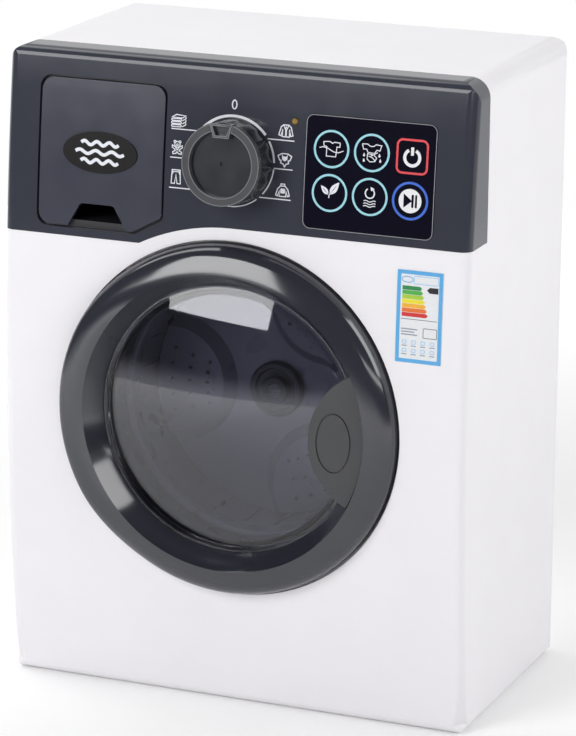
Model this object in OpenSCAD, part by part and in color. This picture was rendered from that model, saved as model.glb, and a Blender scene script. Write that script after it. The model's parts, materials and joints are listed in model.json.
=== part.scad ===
// Toy washing machine: two-part body shell, control panel with selector and detergent drawer,
// glazed door on a side hinge, and a motor-driven drum behind it.
// Depths named _s are measured from the seam between front and cabinet, + to the back.

/* [Body] */
// Width of the body
body_w = 200; // [180:1:220]
// Height of the body
body_h = 265; // [260:1:280]
// Depth of the cabinet behind the seam
cab_d = 96; // [94:1:120]
// Depth of the front ahead of the seam, at its foot
front_low_d = 14.7; // [13:0.1:17]
// Depth of the front ahead of the seam, at its top
front_top_d = 13.2; // [12:0.1:16]
// Outward bow of the front between foot and top
front_bow = 8.7; // [7:0.1:10]
// Wall of the white shells and of the panel
wall = 2.4; // [1.8:0.1:2.8]
// Rounding of the front's long edges
edge_r = 4.5; // [3:0.1:6]
// Rounding of the two upper corners, seen from the front
top_r = 8; // [5:0.5:12]
// Rounding of the two lower corners, seen from the front
low_r = 4.5; // [3:0.5:8]
// Rounding of the cabinet's back edges
back_r = 4; // [3:0.5:8]

/* [Control panel] */
// Height of the panel's lower edge on the drawer's side
panel_low_z = 190.3; // [188:0.1:192]
// Height of the panel's lower edge on the display's side
panel_high_z = 200; // [199:0.1:201]
// Radius of the sweep between the two edge heights
panel_sweep_r = 86; // [70:1:100]
// Height of the selector's centre
dial_z = 226.65; // [225:0.1:228]
// Radius of the selector's rim
knob_r = 16.4; // [14:0.1:17]
// Height of the selector off the panel
knob_h = 13.4; // [11:0.1:15]
// Radius of the selector's shaft
shaft_r = 3; // [2.5:0.1:3.5]
// Radius of the indicator lamp
led_r = 1.25; // [1.1:0.05:1.8]
// Width of the display plate
display_w = 54.2; // [48:0.1:56]
// Height of the display plate
display_h = 44.7; // [40:0.1:46]

/* [Drawer] */
// Width of the drawer's front
drawer_w = 54; // [50:0.5:55]
// Height of the drawer's front
drawer_h = 58.9; // [54:0.1:60]
// Gap round the drawer's front
drawer_gap = 0.9; // [0.6:0.1:1.2]
// Depth of the tray behind the seam
tray_d = 46; // [30:1:54]
// Wall of the tray and of its sleeve
tray_wall = 1.6; // [1.2:0.1:2]

/* [Door] */
// Height of the door's centre
door_z = 121.7; // [120:0.1:124]
// Outer radius of the door's ring
door_r = 72.5; // [71:0.5:75]
// Radius of the visible window
window_r = 55; // [52:0.5:56]
// Rise of the window's dome
dome_h = 8; // [5:0.5:9]
// Wall of the door's mouldings
door_wall = 2; // [1.6:0.1:2.4]
// Radius of the hinge pin
pin_r = 1; // [0.8:0.05:1.2]

/* [Drum and drive] */
// Inner radius of the drum
drum_r = 53; // [48:0.5:54]
// Depth of the drum from its mouth to its back plate
drum_d = 27.5; // [24:0.5:28]
// Wall of the drum and of its tub
drum_wall = 2; // [1.4:0.1:2.2]
// Slots round the drum's mouth
drum_slots = 24; // [16:1:28]
// Radius of the drum's shaft
drum_shaft_r = 3; // [2.5:0.1:3.5]
// Tooth module of the gears
gear_m = 1; // [0.9:0.02:1.04]

/* [Hidden] */
$fn = 64;

// clearances
fit = 0.02;          // shaft or pin pressed into a piece that it turns with
run = 0.05;          // radial clearance of a turning shaft
gap = 0.3;           // between pieces that pass or nest without touching
touch = 0.05;        // between mouldings that seat on each other
past = 1;            // how far a cut runs past the face it opens

// body
seam_y = -cab_d / 2;
chord = norm([body_h, front_low_d - front_top_d]);
bow_r = chord * chord / (8 * front_bow) + front_bow / 2;
chord_a = atan((front_low_d - front_top_d) / body_h);
bow_y = seam_y - (front_low_d + front_top_d) / 2 + (bow_r - front_bow) * cos(chord_a);
bow_z = body_h / 2 - (bow_r - front_bow) * sin(chord_a);
form_d = 60;         // depth of the blank that the front is cut from, more than the front needs
lip_h = 3;           // rim of the cabinet that enters the front
lip_t = 1.3;
tongue_h = 3;        // flange of the front shell behind the panel's lower edge
tongue_t = 1.5;

// door, its seat in the front shell and its hinge
seat_s = -17.5;      // floor of the recess that the door closes against
seat_gap = 1;        // round the door's ring
seat_r = door_r + seat_gap;
door_back_s = seat_s - 0.5;
liner_t = 1.6;
flange_t = 1.6;
liner_s = door_back_s - liner_t;
flange_s = liner_s - flange_t;
cone_s = flange_s - touch;
dome_s = flange_s - 0.4;
ring_shoulder_r = 3.2;
ring_crown_r = 18;
ring_shoulder_s = door_back_s - 8.2;
crease_w = 11.5;     // from the ring's outside in to its inner crease
hinge_x = -(door_r - 4.8);
hinge_s = seat_s - 8.5;
knuckle_r = 2;
knuckle_h = 8.4;     // half height of the door's knuckle
lug_t = 4;
lug_gap = 0.4;
lug_mid = knuckle_h + lug_gap + lug_t / 2;
trough_r = 9.7;
trough_h = 24;
catch_x = door_r - 7;
bolt_r = door_r - 8; // circle of the door's screws
port_r = 60.7;       // hole in the recess floor
grip_s = -31;        // the pull's foremost edge

// drum, tub and drive train
mouth_s = 2.5;
plate_s = mouth_s + drum_d;
plate_t = 2;
lobe_at = 45;        // centre of each lobe of the back plate from the drum's axis
lobe_r = 27.5;
lobe_h = 4.5;
tub_gap = 4.5;
tub_r = drum_r + drum_wall + tub_gap;
tub_s = 1;
tub_back_s = plate_s + plate_t + 3;
tub_end_s = tub_back_s + drum_wall;
bush_r = 4.5;
bush_s = plate_s + plate_t + 1.2;
boss_end_s = tub_end_s + 3.4;
drum_teeth = 48;
idler_small_teeth = 12;
idler_big_teeth = 42;
pinion_teeth = 12;
addendum = 0.8;
dedendum = 1.1;
backlash = 0.16;
press_angle = 20;
big_s = boss_end_s + 0.4;
big_t = 2.2;
gear_s = big_s + big_t + 0.5;
gear_t = 6;
cover_s = gear_s + gear_t + 1;
cover_t = 2;
idler_a = -45;
motor_a = -135;
idler_xz = [0, door_z] + gear_m * (drum_teeth + idler_small_teeth) / 2 * [cos(idler_a), sin(idler_a)];
motor_xz = idler_xz + gear_m * (idler_big_teeth + pinion_teeth) / 2 * [cos(motor_a), sin(motor_a)];
axle_r = 1.5;
motor_r = 10;
motor_l = 25;
motor_shaft_r = 1;

// panel, selector and drawer
skin = 2.2;          // thickness of the drawer's front
drawer_x = -body_w / 2 + 15.7;
drawer_z = 253.4 - drawer_h;
drawer_r = 5;
notch_top_z = drawer_z + 9.5;
tray_x0 = drawer_x + 4.5;
tray_x1 = drawer_x + drawer_w - 5;
tray_z0 = drawer_z + 12.5;
tray_z1 = drawer_z + drawer_h - 4.5;
display_xz = [body_w / 2 - 42.6, dial_z - 0.9];
led_xz = [25.3, 18];
board_t = 1.6;
board_h = 7.8;       // of the board's face behind the panel's outside
board_x = [-22, body_w / 2 - 16];
board_y = [-22, 22];
board_posts = [[-19, -18], [-19, 18], [body_w / 2 - 20, -19], [body_w / 2 - 20, 19]];
click_stops = [-141, -100, -60, 0, 60, 100, 141];

// back of the cabinet
post_x = body_w / 2 - 8.5;
post_z = [13, 125, 236];
post_r = 3.6;
screw_head_s = 12;
cell_r = 7.2;
cell_l = 50.4;
cell_pitch = 15.4;
bay_x = 29.2;
bay_z0 = 17.5;
bay_z1 = bay_z0 + 3 * cell_pitch + 1.6;
bay_wall = 1.8;
bay_s = cab_d - 19;
speaker_xz = [body_w / 2 - 55, 170];
speaker_r = 18;

// ---------- helpers ----------

function arc(c, r, a0, a1, n = 8) =
    [for (i = [0:n]) let (a = a0 + (a1 - a0) * i / n) c + r * [cos(a), sin(a)]];
function face_y(z) = bow_y - sqrt(bow_r * bow_r - (z - bow_z) * (z - bow_z));
function lean(z) = asin((z - bow_z) / bow_r);

// a flat outline in X and Z, given depth from s0 back to s1
module layer(s0, s1, at = [0, 0])
    translate([at[0], seam_y + s1, at[1]]) rotate([90, 0, 0]) linear_extrude(s1 - s0) children();

// a profile of radius and depth, turned about an axis that runs front to back
module turned(at = [0, 0])
    translate([at[0], seam_y, at[1]]) rotate([-90, 0, 0]) rotate_extrude() children();

// stands on the bowed face at height z, local Z pointing out of it
module on_face(z) translate([0, face_y(z), z]) rotate([90 - lean(z), 0, 0]) children();

// the space between two offsets from the bowed face, + outwards
module bow_layer(lo, hi, w = 2 * body_w)
    translate([0, bow_y, bow_z]) rotate([0, 90, 0]) difference() {
        cylinder(r = bow_r + hi, h = w, center = true, $fn = 256);
        cylinder(r = bow_r + lo, h = w + 2 * past, center = true, $fn = 256);
    }

module rounded(x0, z0, x1, z1, r) polygon(concat(
    arc([x0 + r, z0 + r], r, 180, 270, 5), arc([x1 - r, z0 + r], r, 270, 360, 5),
    arc([x1 - r, z1 - r], r, 0, 90, 5), arc([x0 + r, z1 - r], r, 90, 180, 5)));

// the body seen from the front, shrunk by inset
module body_outline(inset) {
    w = body_w / 2 - inset;
    difference() {
        translate([-w, inset]) square([2 * w, body_h - 2 * inset]);
        for (side = [-1, 1]) {
            corner_cut(side * (w - top_r + inset), body_h - top_r, top_r - inset, side, 1);
            corner_cut(side * (w - low_r + inset), low_r, low_r - inset, side, -1);
        }
    }
}

// what rounding takes off one corner of a square, centred on the rounding's centre
module corner_cut(x, y, r, sx, sy)
    translate([x, y]) difference() {
        translate([sx > 0 ? 0 : -r - past, sy > 0 ? 0 : -r - past]) square(r + past);
        circle(r);
    }

// what rounding takes off the bowed face where it meets the top (1) or the foot (-1)
module bow_corner(side, r, inset) {
    cz = side > 0 ? body_h - inset - r : inset + r;
    rr = bow_r - inset - r;
    cy = bow_y - sqrt(rr * rr - (cz - bow_z) * (cz - bow_z));
    out = 3 * r * [cy - bow_y, cz - bow_z] / rr;
    difference() {
        polygon([[cy, cz], [cy, cz + side * (r + 3)], [cy - 3 * r, cz + side * (r + 3)], [cy, cz] + out]);
        translate([cy, cz]) circle(r);
    }
}

// the solid ahead of the seam, shrunk by inset: bowed face, rounded edges and corners
module front_form(inset, back = 0) {
    r = max(edge_r - inset, 0.6);
    w = body_w / 2 - inset;
    intersection() {
        translate([0, bow_y, bow_z]) rotate([0, -90, 0]) rotate_extrude($fn = 256) difference() {
            translate([bow_r - form_d, -w]) square([form_d - inset, 2 * w]);
            for (side = [-1, 1]) corner_cut(bow_r - inset - r, side * (w - r), r, 1, side);
        }
        layer(-form_d, back) body_outline(inset);
        rotate([90, 0, 90]) translate([0, 0, -body_w]) linear_extrude(2 * body_w) difference() {
            translate([seam_y - form_d, -past]) square([form_d + back + past, body_h + 2 * past]);
            bow_corner(1, r, inset);
            bow_corner(-1, r, inset);
        }
    }
}

// the cabinet's solid behind the seam, shrunk by inset
module cabinet_form(inset) {
    r = back_r - inset;
    w = body_w / 2 - inset;
    y1 = seam_y + cab_d - inset;
    intersection() {
        layer(0, cab_d - inset) body_outline(inset);
        rotate([90, 0, 90]) translate([0, 0, -body_w]) linear_extrude(2 * body_w) difference() {
            translate([seam_y, 0]) square([cab_d - inset, body_h]);
            corner_cut(y1 - r, body_h - inset - r, r, 1, 1);
            corner_cut(y1 - r, inset + r, r, 1, -1);
        }
        linear_extrude(body_h) difference() {
            translate([-w, seam_y]) square([2 * w, cab_d - inset]);
            for (side = [-1, 1]) corner_cut(side * (w - r), y1 - r, r, side, 1);
        }
    }
}

// everything above the panel's lower edge, moved up by rise
module above_edge(rise) {
    a = acos(1 - (panel_high_z - panel_low_z) / panel_sweep_r);
    polygon(concat(
        [[-body_w, body_h + past], [-body_w, panel_low_z + rise]],
        [for (p = arc([0, panel_high_z - panel_sweep_r], panel_sweep_r, 90 + a, 90, 10)) p + [0, rise]],
        [[body_w, panel_high_z + rise], [body_w, body_h + past]]));
}

module screw(l, r, head_r, head_h) {
    cylinder(r = r, h = l);
    translate([0, 0, l]) difference() {
        cylinder(r = head_r, h = head_h);
        for (a = [0, 90]) rotate(a) translate([-head_r * 0.65, -0.3, head_h * 0.45])
            cube([head_r * 1.3, 0.6, head_h]);
    }
}

// a screw driven from the back, its head's underside at depth s
module back_screw(x, z, s, l, r, head_r, head_h)
    translate([x, seam_y + s - l, z]) rotate([-90, 0, 0]) screw(l, r, head_r, head_h);

// ---------- body ----------

module cabinet() color("white") difference() {
    union() {
        difference() {
            cabinet_form(0);
            translate([0, -past, 0]) cabinet_form(wall);
            layer(-past, past + wall) body_outline(wall);
        }
        difference() {
            layer(-lip_h, 2 * lip_h) body_outline(wall + touch);
            layer(-lip_h - past, 2 * lip_h + past) body_outline(wall + touch + lip_t);
            layer(-lip_h - past, 0, [-body_w, panel_low_z - tongue_h - 1])
                square([2 * body_w, panel_high_z - panel_low_z + 2 * tongue_h + 2]);
        }
        difference() {
            layer(0.5, 2 * lip_h) body_outline(wall - 0.5);
            layer(0, 2 * lip_h + past) body_outline(wall + touch + lip_t / 2);
        }
        for (side = [-1, 1], z = post_z) layer(0, cab_d - wall + 0.5, [side * post_x, z]) circle(post_r);
        layer(bay_s - bay_wall, cab_d - wall + 0.5)
            translate([-bay_x - bay_wall, bay_z0 - bay_wall])
            square([2 * (bay_x + bay_wall), bay_z1 - bay_z0 + 2 * bay_wall]);
        layer(cab_d - 9, cab_d - wall + 0.5, [0, bay_z1 + 4]) circle(3.2);
        layer(cab_d - wall - 5, cab_d - wall + 0.5, speaker_xz) circle(speaker_r + 2);
        for (side = [-1, 1])
            layer(cab_d - wall - 7, cab_d - wall + 0.5, speaker_xz + [side * (speaker_r + 4.5), 0]) circle(3);
    }
    for (side = [-1, 1], z = post_z) {
        layer(-past, cab_d, [side * post_x, z]) circle(1.7);
        layer(screw_head_s, cab_d + past, [side * post_x, z]) circle(2.6);
    }
    layer(bay_s, cab_d + past) translate([-bay_x, bay_z0]) square([2 * bay_x, bay_z1 - bay_z0]);
    layer(cab_d - 2.2, cab_d + past) cover_outline(0.25);
    layer(cab_d - 8.5, cab_d, [0, bay_z1 + 4]) circle(1.35);
    layer(cab_d - wall - 8, cab_d - wall, speaker_xz) circle(speaker_r + 0.3);
    for (side = [-1, 1])
        layer(cab_d - wall - 8, cab_d - wall - 1, speaker_xz + [side * (speaker_r + 4.5), 0]) circle(1.1);
    speaker_holes();
}

module speaker_holes() for (i = [-2:2], j = [-2:2]) {
    x = 6 * (i + j / 2);
    z = 6 * sqrt(3) / 2 * j;
    if (norm([x, z]) < 13) layer(cab_d - wall - past, cab_d + past, speaker_xz + [x, z]) circle(1.5);
}

module cover_outline(grow) {
    rounded(-bay_x - 3 - grow, bay_z0 - 3 - grow, bay_x + 3 + grow, bay_z1 + 3 + grow, 3);
    translate([0, bay_z1 + 4]) circle(5 + grow);
}

module battery_cover() color("white") difference() {
    union() {
        layer(cab_d - 2.1, cab_d) cover_outline(0);
        for (x = [-18, 14]) layer(cab_d - 6, cab_d - 2) translate([x, bay_z0 + 0.4]) square([4, 1.4]);
    }
    layer(cab_d - 3, cab_d + past, [0, bay_z1 + 4]) circle(1.7);
    layer(cab_d - 1, cab_d + past, [0, bay_z1 + 4]) circle(3.1);
    for (k = [0:4])
        layer(cab_d - 0.8, cab_d + past, [0, bay_z0 + 3 + 2.2 * k])
            translate([-9 + k, 0]) square([18 - 2 * k, 1]);
}

module battery_cover_screw() color("silver") back_screw(0, bay_z1 + 4, cab_d - 1, 7, 1.3, 2.8, 1);

module each_cell() for (k = [0:2])
    translate([0, seam_y + bay_s + cell_r + 0.3, bay_z0 + 0.8 + cell_pitch * (k + 0.5)])
    rotate([0, k == 1 ? -90 : 90, 0]) children();

module battery_cells() color("dimgray") each_cell() {
    translate([0, 0, -cell_l / 2]) cylinder(r = cell_r, h = cell_l - 1.2);
    translate([0, 0, cell_l / 2 - 1.2]) cylinder(r = 2.6, h = 1.2);
}

module battery_contacts() color("silver") each_cell() {
    translate([0, 0, cell_l / 2 + 0.3]) cylinder(r1 = 2, r2 = 4.5, h = bay_x - cell_l / 2 - 1);
    translate([-5.5, -5.5, bay_x - 0.7]) cube([11, 11, 0.6]);
    translate([0, 0, -cell_l / 2 - 0.3]) mirror([0, 0, 1]) {
        rotate_extrude() {
            for (k = [0:3]) translate([3 + 0.4 * k, 0.4 + 0.75 * k]) circle(0.4);
            translate([0, 3.05]) square([5, bay_x - cell_l / 2 - 0.3 - 3.15]);
        }
    }
}

module shell_screws() color("silver") for (side = [-1, 1], z = post_z)
    back_screw(side * post_x, z, screw_head_s, 20, 1.4, 2.5, 2);

// pillar of the front that a shell screw runs into
module front_pillars(zs) intersection() {
    front_form(0.8);
    difference() {
        for (side = [-1, 1], z = zs) layer(-form_d, -touch, [side * post_x, z]) circle(post_r);
        for (side = [-1, 1], z = zs) layer(-11, past, [side * post_x, z]) circle(1.45);
    }
}

module front_shell() color("white") difference() {
    union() {
        difference() {
            front_form(0);
            front_form(wall, past);
            layer(-form_d, past) above_edge(0);
        }
        tongue();
        intersection() {
            front_form(0);
            union() {
                layer(-form_d, seat_s + wall, [0, door_z]) circle(seat_r + wall);
                trough(trough_r + 1.8, trough_h + 1.8);
            }
            layer(-form_d, past) difference() {
                translate([-body_w, 0]) square([2 * body_w, body_h]);
                above_edge(-0.4);
            }
        }
        front_pillars([post_z[0], post_z[1]]);
        for (a = [45:90:315]) tub_pillar(a);
        hinge_lugs();
    }
    difference() {
        layer(-form_d, seat_s, [0, door_z]) circle(seat_r);
        hinge_lugs();
    }
    layer(-form_d, 0, [0, door_z]) circle(port_r);
    difference() {
        intersection() {
            trough(trough_r, trough_h);
            layer(-form_d, 0, [0, door_z]) circle(seat_r);
        }
        hinge_lugs();
    }
    translate([hinge_x, seam_y + hinge_s, door_z]) cylinder(r = pin_r + fit, h = 60, center = true);
    layer(seat_s - past, seat_s + wall + past) translate([catch_x - 2.2, door_z - 4.6]) square([5, 9.2]);
    for (a = [45:90:315]) layer(tub_s - 11, tub_s + past, tub_pillar_at(a)) circle(1.1);
}

function tub_pillar_at(a) = [0, door_z] + (tub_r + 7.8) * [cos(a), sin(a)];

module tub_pillar(a) layer(seat_s + 0.5, tub_s - touch, tub_pillar_at(a)) circle(3);

module trough(r, h) translate([hinge_x, seam_y + hinge_s, door_z]) cylinder(r = r, h = 2 * h, center = true);

// two lugs on the recess floor that carry the hinge pin, each with a swan neck clear of the door's rim
module hinge_lugs() for (side = [-1, 1])
    translate([hinge_x, seam_y + hinge_s, door_z + side * lug_mid - lug_t / 2])
        linear_extrude(lug_t) {
            circle(knuckle_r);
            polygon([[-0.65, 1.13], [2.99, 3.23], [3.2, 10.2], [7.4, 10.2],
                [7.4, 3.4], [5, 1.5], [0.65, -1.13]]);
        }

// flange that stands up behind the panel's lower edge
module tongue() {
    intersection() {
        difference() {
            front_form(wall + touch);
            front_form(wall + tongue_t, past);
        }
        edge_band(-tongue_h, tongue_h);
    }
    intersection() {
        difference() {
            front_form(wall - 0.5);
            front_form(wall + tongue_t, past);
        }
        edge_band(-tongue_h, -0.4);
    }
}

module edge_band(lo, hi) layer(-form_d, past) difference() {
    above_edge(lo);
    above_edge(hi);
}

module control_panel() color("#3c3f45") difference() {
    union() {
        intersection() {
            difference() {
                front_form(0);
                front_form(wall, past);
            }
            layer(-form_d, past) above_edge(touch);
        }
        front_pillars([post_z[2]]);
        intersection() {
            front_form(0.8);
            on_face(dial_z) for (p = board_posts)
                translate([p[0], p[1], -board_h + touch]) cylinder(r = 2.6, h = 9);
        }
    }
    layer(-form_d, 0) drawer_outline(drawer_gap);
    intersection() {
        bow_layer(-0.8, 3);
        layer(-form_d, 0) display_outline(0.2);
    }
    on_face(dial_z) {
        translate([0, 0, -5]) cylinder(r = shaft_r + gap, h = 10);
        translate([led_xz[0], led_xz[1], -5]) cylinder(r = led_r + 0.15, h = 10);
        for (p = board_posts) translate([p[0], p[1], -board_h - past]) cylinder(r = 0.9, h = 6);
    }
}

// ---------- control panel's fittings ----------

module display_outline(grow) {
    p = display_xz;
    w = display_w / 2 + grow;
    h = display_h / 2 + grow;
    rounded(p[0] - w, p[1] - h, p[0] + w, p[1] + h, 3 + grow);
}

module display_plate() color("#10101c") intersection() {
    bow_layer(-0.8 + touch, 0.25);
    layer(-form_d, 0) display_outline(0);
}

module indicator_led() color("goldenrod") on_face(dial_z) translate([led_xz[0], led_xz[1], 0]) {
    translate([0, 0, -board_h + touch]) cylinder(r = led_r + 0.5, h = 1);
    translate([0, 0, -board_h + touch]) cylinder(r = led_r, h = board_h + 0.1);
    intersection() {
        translate([0, 0, 0.1]) sphere(r = led_r);
        cylinder(r = led_r, h = 3);
    }
}

module circuit_board() color("darkgreen") on_face(dial_z) difference() {
    union() {
        translate([board_x[0], board_y[0], -board_h - board_t])
            cube([board_x[1] - board_x[0], board_y[1] - board_y[0], board_t]);
        for (p = [[40, -8], [62, 6]]) translate([p[0], p[1], -board_h - board_t - 1.4]) cube([9, 7, 1.5]);
        translate([34, -3, -board_h - board_t - 6]) cylinder(r = 3, h = 6.1);
    }
    for (p = board_posts) translate([p[0], p[1], -board_h - board_t - past]) cylinder(r = 1.1, h = 5);
}

module board_screws() color("silver") on_face(dial_z) for (p = board_posts)
    translate([p[0], p[1], -board_h + 3.5]) mirror([0, 0, 1]) screw(3.5 + board_t + touch, 0.85, 1.9, 1.1);

module rotary_switch() color("#33363b") on_face(dial_z) difference() {
    translate([-9, -9, -board_h + touch]) cube([18, 18, 2]);
    translate([0, 0, -board_h + 0.6]) cylinder(r = shaft_r + run, h = 5);
}

// star wheel that the click spring rides on, with a hollow for each stop
module click_wheel() color("white") on_face(dial_z) translate([0, 0, -board_h + 2.2]) difference() {
    cylinder(r = 7, h = 1.8);
    translate([0, 0, -past]) cylinder(r = shaft_r + fit, h = 4);
    for (a = click_stops) rotate(-a) translate([0, -7.6, -past]) cylinder(r = 1.2, h = 4);
}

// flat spring whose nose rests in a hollow of the click wheel, below the shaft
module click_spring() color("silver") on_face(dial_z) translate([0, 0, -board_h + 2.05 + touch]) {
    translate([-8.6, -8.75, 0]) cube([17.2, 0.4, 2]);
    translate([0, -7.75, 0]) cylinder(r = 0.75, h = 2);
    translate([-0.4, -8.6, 0]) cube([0.8, 0.6, 2]);
}

module selector_shaft() color("gray") on_face(dial_z)
    translate([0, 0, -board_h + 0.8]) cylinder(r = shaft_r, h = board_h + knob_h - 5);

// ribbed dial with a dished face and a raised pointer frame
module selector_knob() color("#45484e") on_face(dial_z) difference() {
    base = 0.5;
    rim_h = 2.6;
    dish_r = knob_r - 3.2;
    dish = 3;
    union() {
        translate([0, 0, base]) linear_extrude(knob_h - base - rim_h + 0.2) difference() {
            circle(knob_r + 0.3);
            for (k = [0:11]) rotate(30 * k + 15) translate([knob_r + 8.7, 0]) circle(9);
        }
        translate([0, 0, knob_h - rim_h]) difference() {
            cylinder(r = knob_r, h = rim_h);
            translate([0, 0, rim_h - dish]) cylinder(r = dish_r, h = 2 * dish);
        }
        translate([0, 0, knob_h - dish - 0.2]) linear_extrude(dish + 0.7) pointer_outline(0);
        translate([0, 0, knob_h - dish - 0.2]) cylinder(r = 1.9, h = 0.8);
    }
    translate([0, 0, knob_h - 1.6]) linear_extrude(3) pointer_outline(1);
    translate([0, 0, knob_h - dish]) cylinder(r = 0.9, h = 3);
    difference() {
        cylinder(r = knob_r - 2, h = knob_h - dish - 2);
        translate([0, 0, -past]) cylinder(r = shaft_r + 2.2, h = knob_h);
    }
    translate([0, 0, -past]) cylinder(r = shaft_r + fit, h = knob_h - 4.1 + past);
}

module pointer_outline(inset) polygon([
    [-4.7 + inset, knob_r - 0.4 - inset], [-3.3 + inset, knob_r - 6 + inset],
    [3.3 - inset, knob_r - 6 + inset], [4.7 - inset, knob_r - 0.4 - inset]]);

// ---------- detergent drawer ----------

// the drawer's front: rounded corners, and one cut off along the panel's sweep
module drawer_outline(grow) {
    x0 = drawer_x - grow;
    x1 = drawer_x + drawer_w + grow;
    z0 = drawer_z - grow;
    z1 = drawer_z + drawer_h + grow;
    r = drawer_r;
    polygon(concat(
        arc([x0 + r, z0 + r], r, 180, 270, 5), [[x1 - 12.4, z0], [x1 - 0.7, z0 + 6.4], [x1, z0 + 7.6]],
        arc([x1 - r, z1 - r], r, 0, 90, 5), arc([x0 + r, z1 - r], r, 90, 180, 5)));
}

module drawer_notch() {
    x0 = drawer_x + 12.5;
    x1 = drawer_x + drawer_w - 14.7;
    polygon(concat([[x1 + 0.8, drawer_z - 2], [x1 - 5.4, notch_top_z - 1.6]],
        arc([x1 - 7.4, notch_top_z - 2], 2, 20, 90, 4), arc([x0 + 7, notch_top_z - 2], 2, 90, 160, 4),
        [[x0 - 0.8, drawer_z - 2]]));
}

module drawer_front() color("#3a3d44") difference() {
    intersection() {
        bow_layer(-skin, 0);
        layer(-form_d, 0) drawer_outline(0);
    }
    layer(-form_d, 0) drawer_notch();
}

module drawer_badge() color("#15110f") intersection() {
    bow_layer(touch, 0.6);
    layer(-form_d, 0) translate([-57.7, 225]) scale([1, 0.508]) circle(16.25);
}

// everything behind the drawer's front
module behind_skin(clear) intersection() {
    translate([0, bow_y, bow_z]) rotate([0, 90, 0])
        cylinder(r = bow_r - skin - clear, h = 2 * body_w, center = true, $fn = 256);
    children();
}

module drawer_tray() color("#4a4d53") difference() {
    t = tray_wall;
    behind_skin(touch) layer(-form_d, tray_d)
        translate([tray_x0, tray_z0]) square([tray_x1 - tray_x0, tray_z1 - tray_z0]);
    for (x = [tray_x0 + t, (tray_x0 + tray_x1 + t) / 2])
        layer(-10, tray_d - t) translate([x, tray_z0 + t])
            square([(tray_x1 - tray_x0 - 3 * t) / 2, tray_z1 - tray_z0]);
}

module drawer_sleeve() color("white") difference() {
    t = tray_wall;
    x0 = tray_x0 - gap;
    x1 = tray_x1 + gap;
    z0 = drawer_z + 2;
    z1 = tray_z1 + gap;
    union() {
        layer(-12, tray_d + 2 + t) translate([x0 - t, z0 - t]) square([x1 - x0 + 2 * t, z1 - z0 + 2 * t]);
        intersection() {
            bow_layer(-wall - 1.9, -wall - touch);
            layer(-form_d, 0) intersection() {
                translate([drawer_x - 2.8, panel_low_z])
                    square([drawer_w + 5.6, body_h - wall - 3.5 - panel_low_z]);
                above_edge(tongue_h + 0.4);
            }
        }
        behind_skin(wall + touch - skin) layer(-form_d, -11) intersection() {
            translate([x0 - t, z0 - t]) square([x1 - x0 + 2 * t, z1 - z0 + 2 * t]);
            above_edge(tongue_h + 0.4);
        }
    }
    layer(-form_d, tray_d + 1.5) translate([x0, tray_z0 - gap]) square([x1 - x0, z1 - tray_z0 + gap]);
    layer(-form_d, tray_d + 1.5) translate([x0 + 3.5, z0]) square([x1 - x0 - 7, z1 - z0]);
}

// ---------- label ----------

module energy_label() color("lightblue") intersection() {
    bow_layer(touch, 0.3);
    layer(-form_d, 0) translate([body_w / 2 - 29.1, 154.6]) square([19, 36.8]);
}

// ---------- door ----------

// the ring's moulded section: outer wall, shoulder, crown, crease and inner cone, thinned by inset
function ring_path(inset) =
    let (r = ring_shoulder_r - inset, big = ring_crown_r - inset,
        c = [door_r - ring_shoulder_r, ring_shoulder_s],
        a = 72, c2 = c + (ring_shoulder_r - ring_crown_r) * [cos(a), -sin(a)])
    concat([[door_r - inset, door_back_s]], arc(c, r, 0, -a, 6), arc(c2, big, -a, -102, 8));

module door_ring() color("#3b3e44") difference() {
    union() {
        difference() {
            turned([0, door_z]) {
                crease = [door_r - crease_w - 0.6, ring_shoulder_s - 2.7];
                polygon(concat(ring_path(0), [crease, [window_r + 0.2, cone_s], [window_r + 2.6, cone_s],
                    crease + [1, 1.5]], [for (i = [14:-1:0]) let (p = ring_path(door_wall)) p[i + 1]],
                    [[door_r - door_wall, door_back_s]]));
            }
            layer(-form_d, cone_s + past) grip_outline(0.25);
        }
        for (a = [30:60:330]) ring_boss(a);
        translate([hinge_x - 3.2, seam_y + hinge_s - 2.4, door_z - knuckle_h])
            cube([3.2, 3.7, 2 * knuckle_h]);
        translate([hinge_x, seam_y + hinge_s, door_z - knuckle_h]) cylinder(r = knuckle_r, h = 2 * knuckle_h);
    }
    for (a = [30:60:330]) layer(-form_d + 34, door_back_s, bolt_at(a)) circle(1.05);
    translate([hinge_x, seam_y + hinge_s, door_z]) cylinder(r = pin_r + run, h = 60, center = true);
    for (side = [-1, 1]) translate([0, 0, door_z + side * lug_mid - lug_t / 2 - lug_gap]) {
        translate([-door_r - past, seam_y + hinge_s + 0.6, 0]) cube([6, 20, lug_t + 2 * lug_gap]);
        translate([hinge_x, seam_y + hinge_s, 0]) cylinder(r = knuckle_r + lug_gap, h = lug_t + 2 * lug_gap);
    }
}

function bolt_at(a) = [0, door_z] + bolt_r * [cos(a), sin(a)];

module ring_boss(a) layer(ring_shoulder_s - 2.4, liner_s - touch, bolt_at(a)) circle(2.8);

module door_window() color("#55585e", 0.55) turned([0, door_z]) {
    r = window_r - 0.4;
    big = (r * r + dome_h * dome_h) / (2 * dome_h);
    c = [0, dome_s - dome_h + big];
    a = asin(r / big);
    polygon(concat(arc(c, big, -90, -90 + a, 14),
        [[r + 0.1, flange_s], [window_r + 4, flange_s], [window_r + 4, liner_s - touch],
        [r - 1.4, liner_s - touch]], arc(c, big - flange_t, -90 + a - 1, -90, 14)));
}

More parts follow.
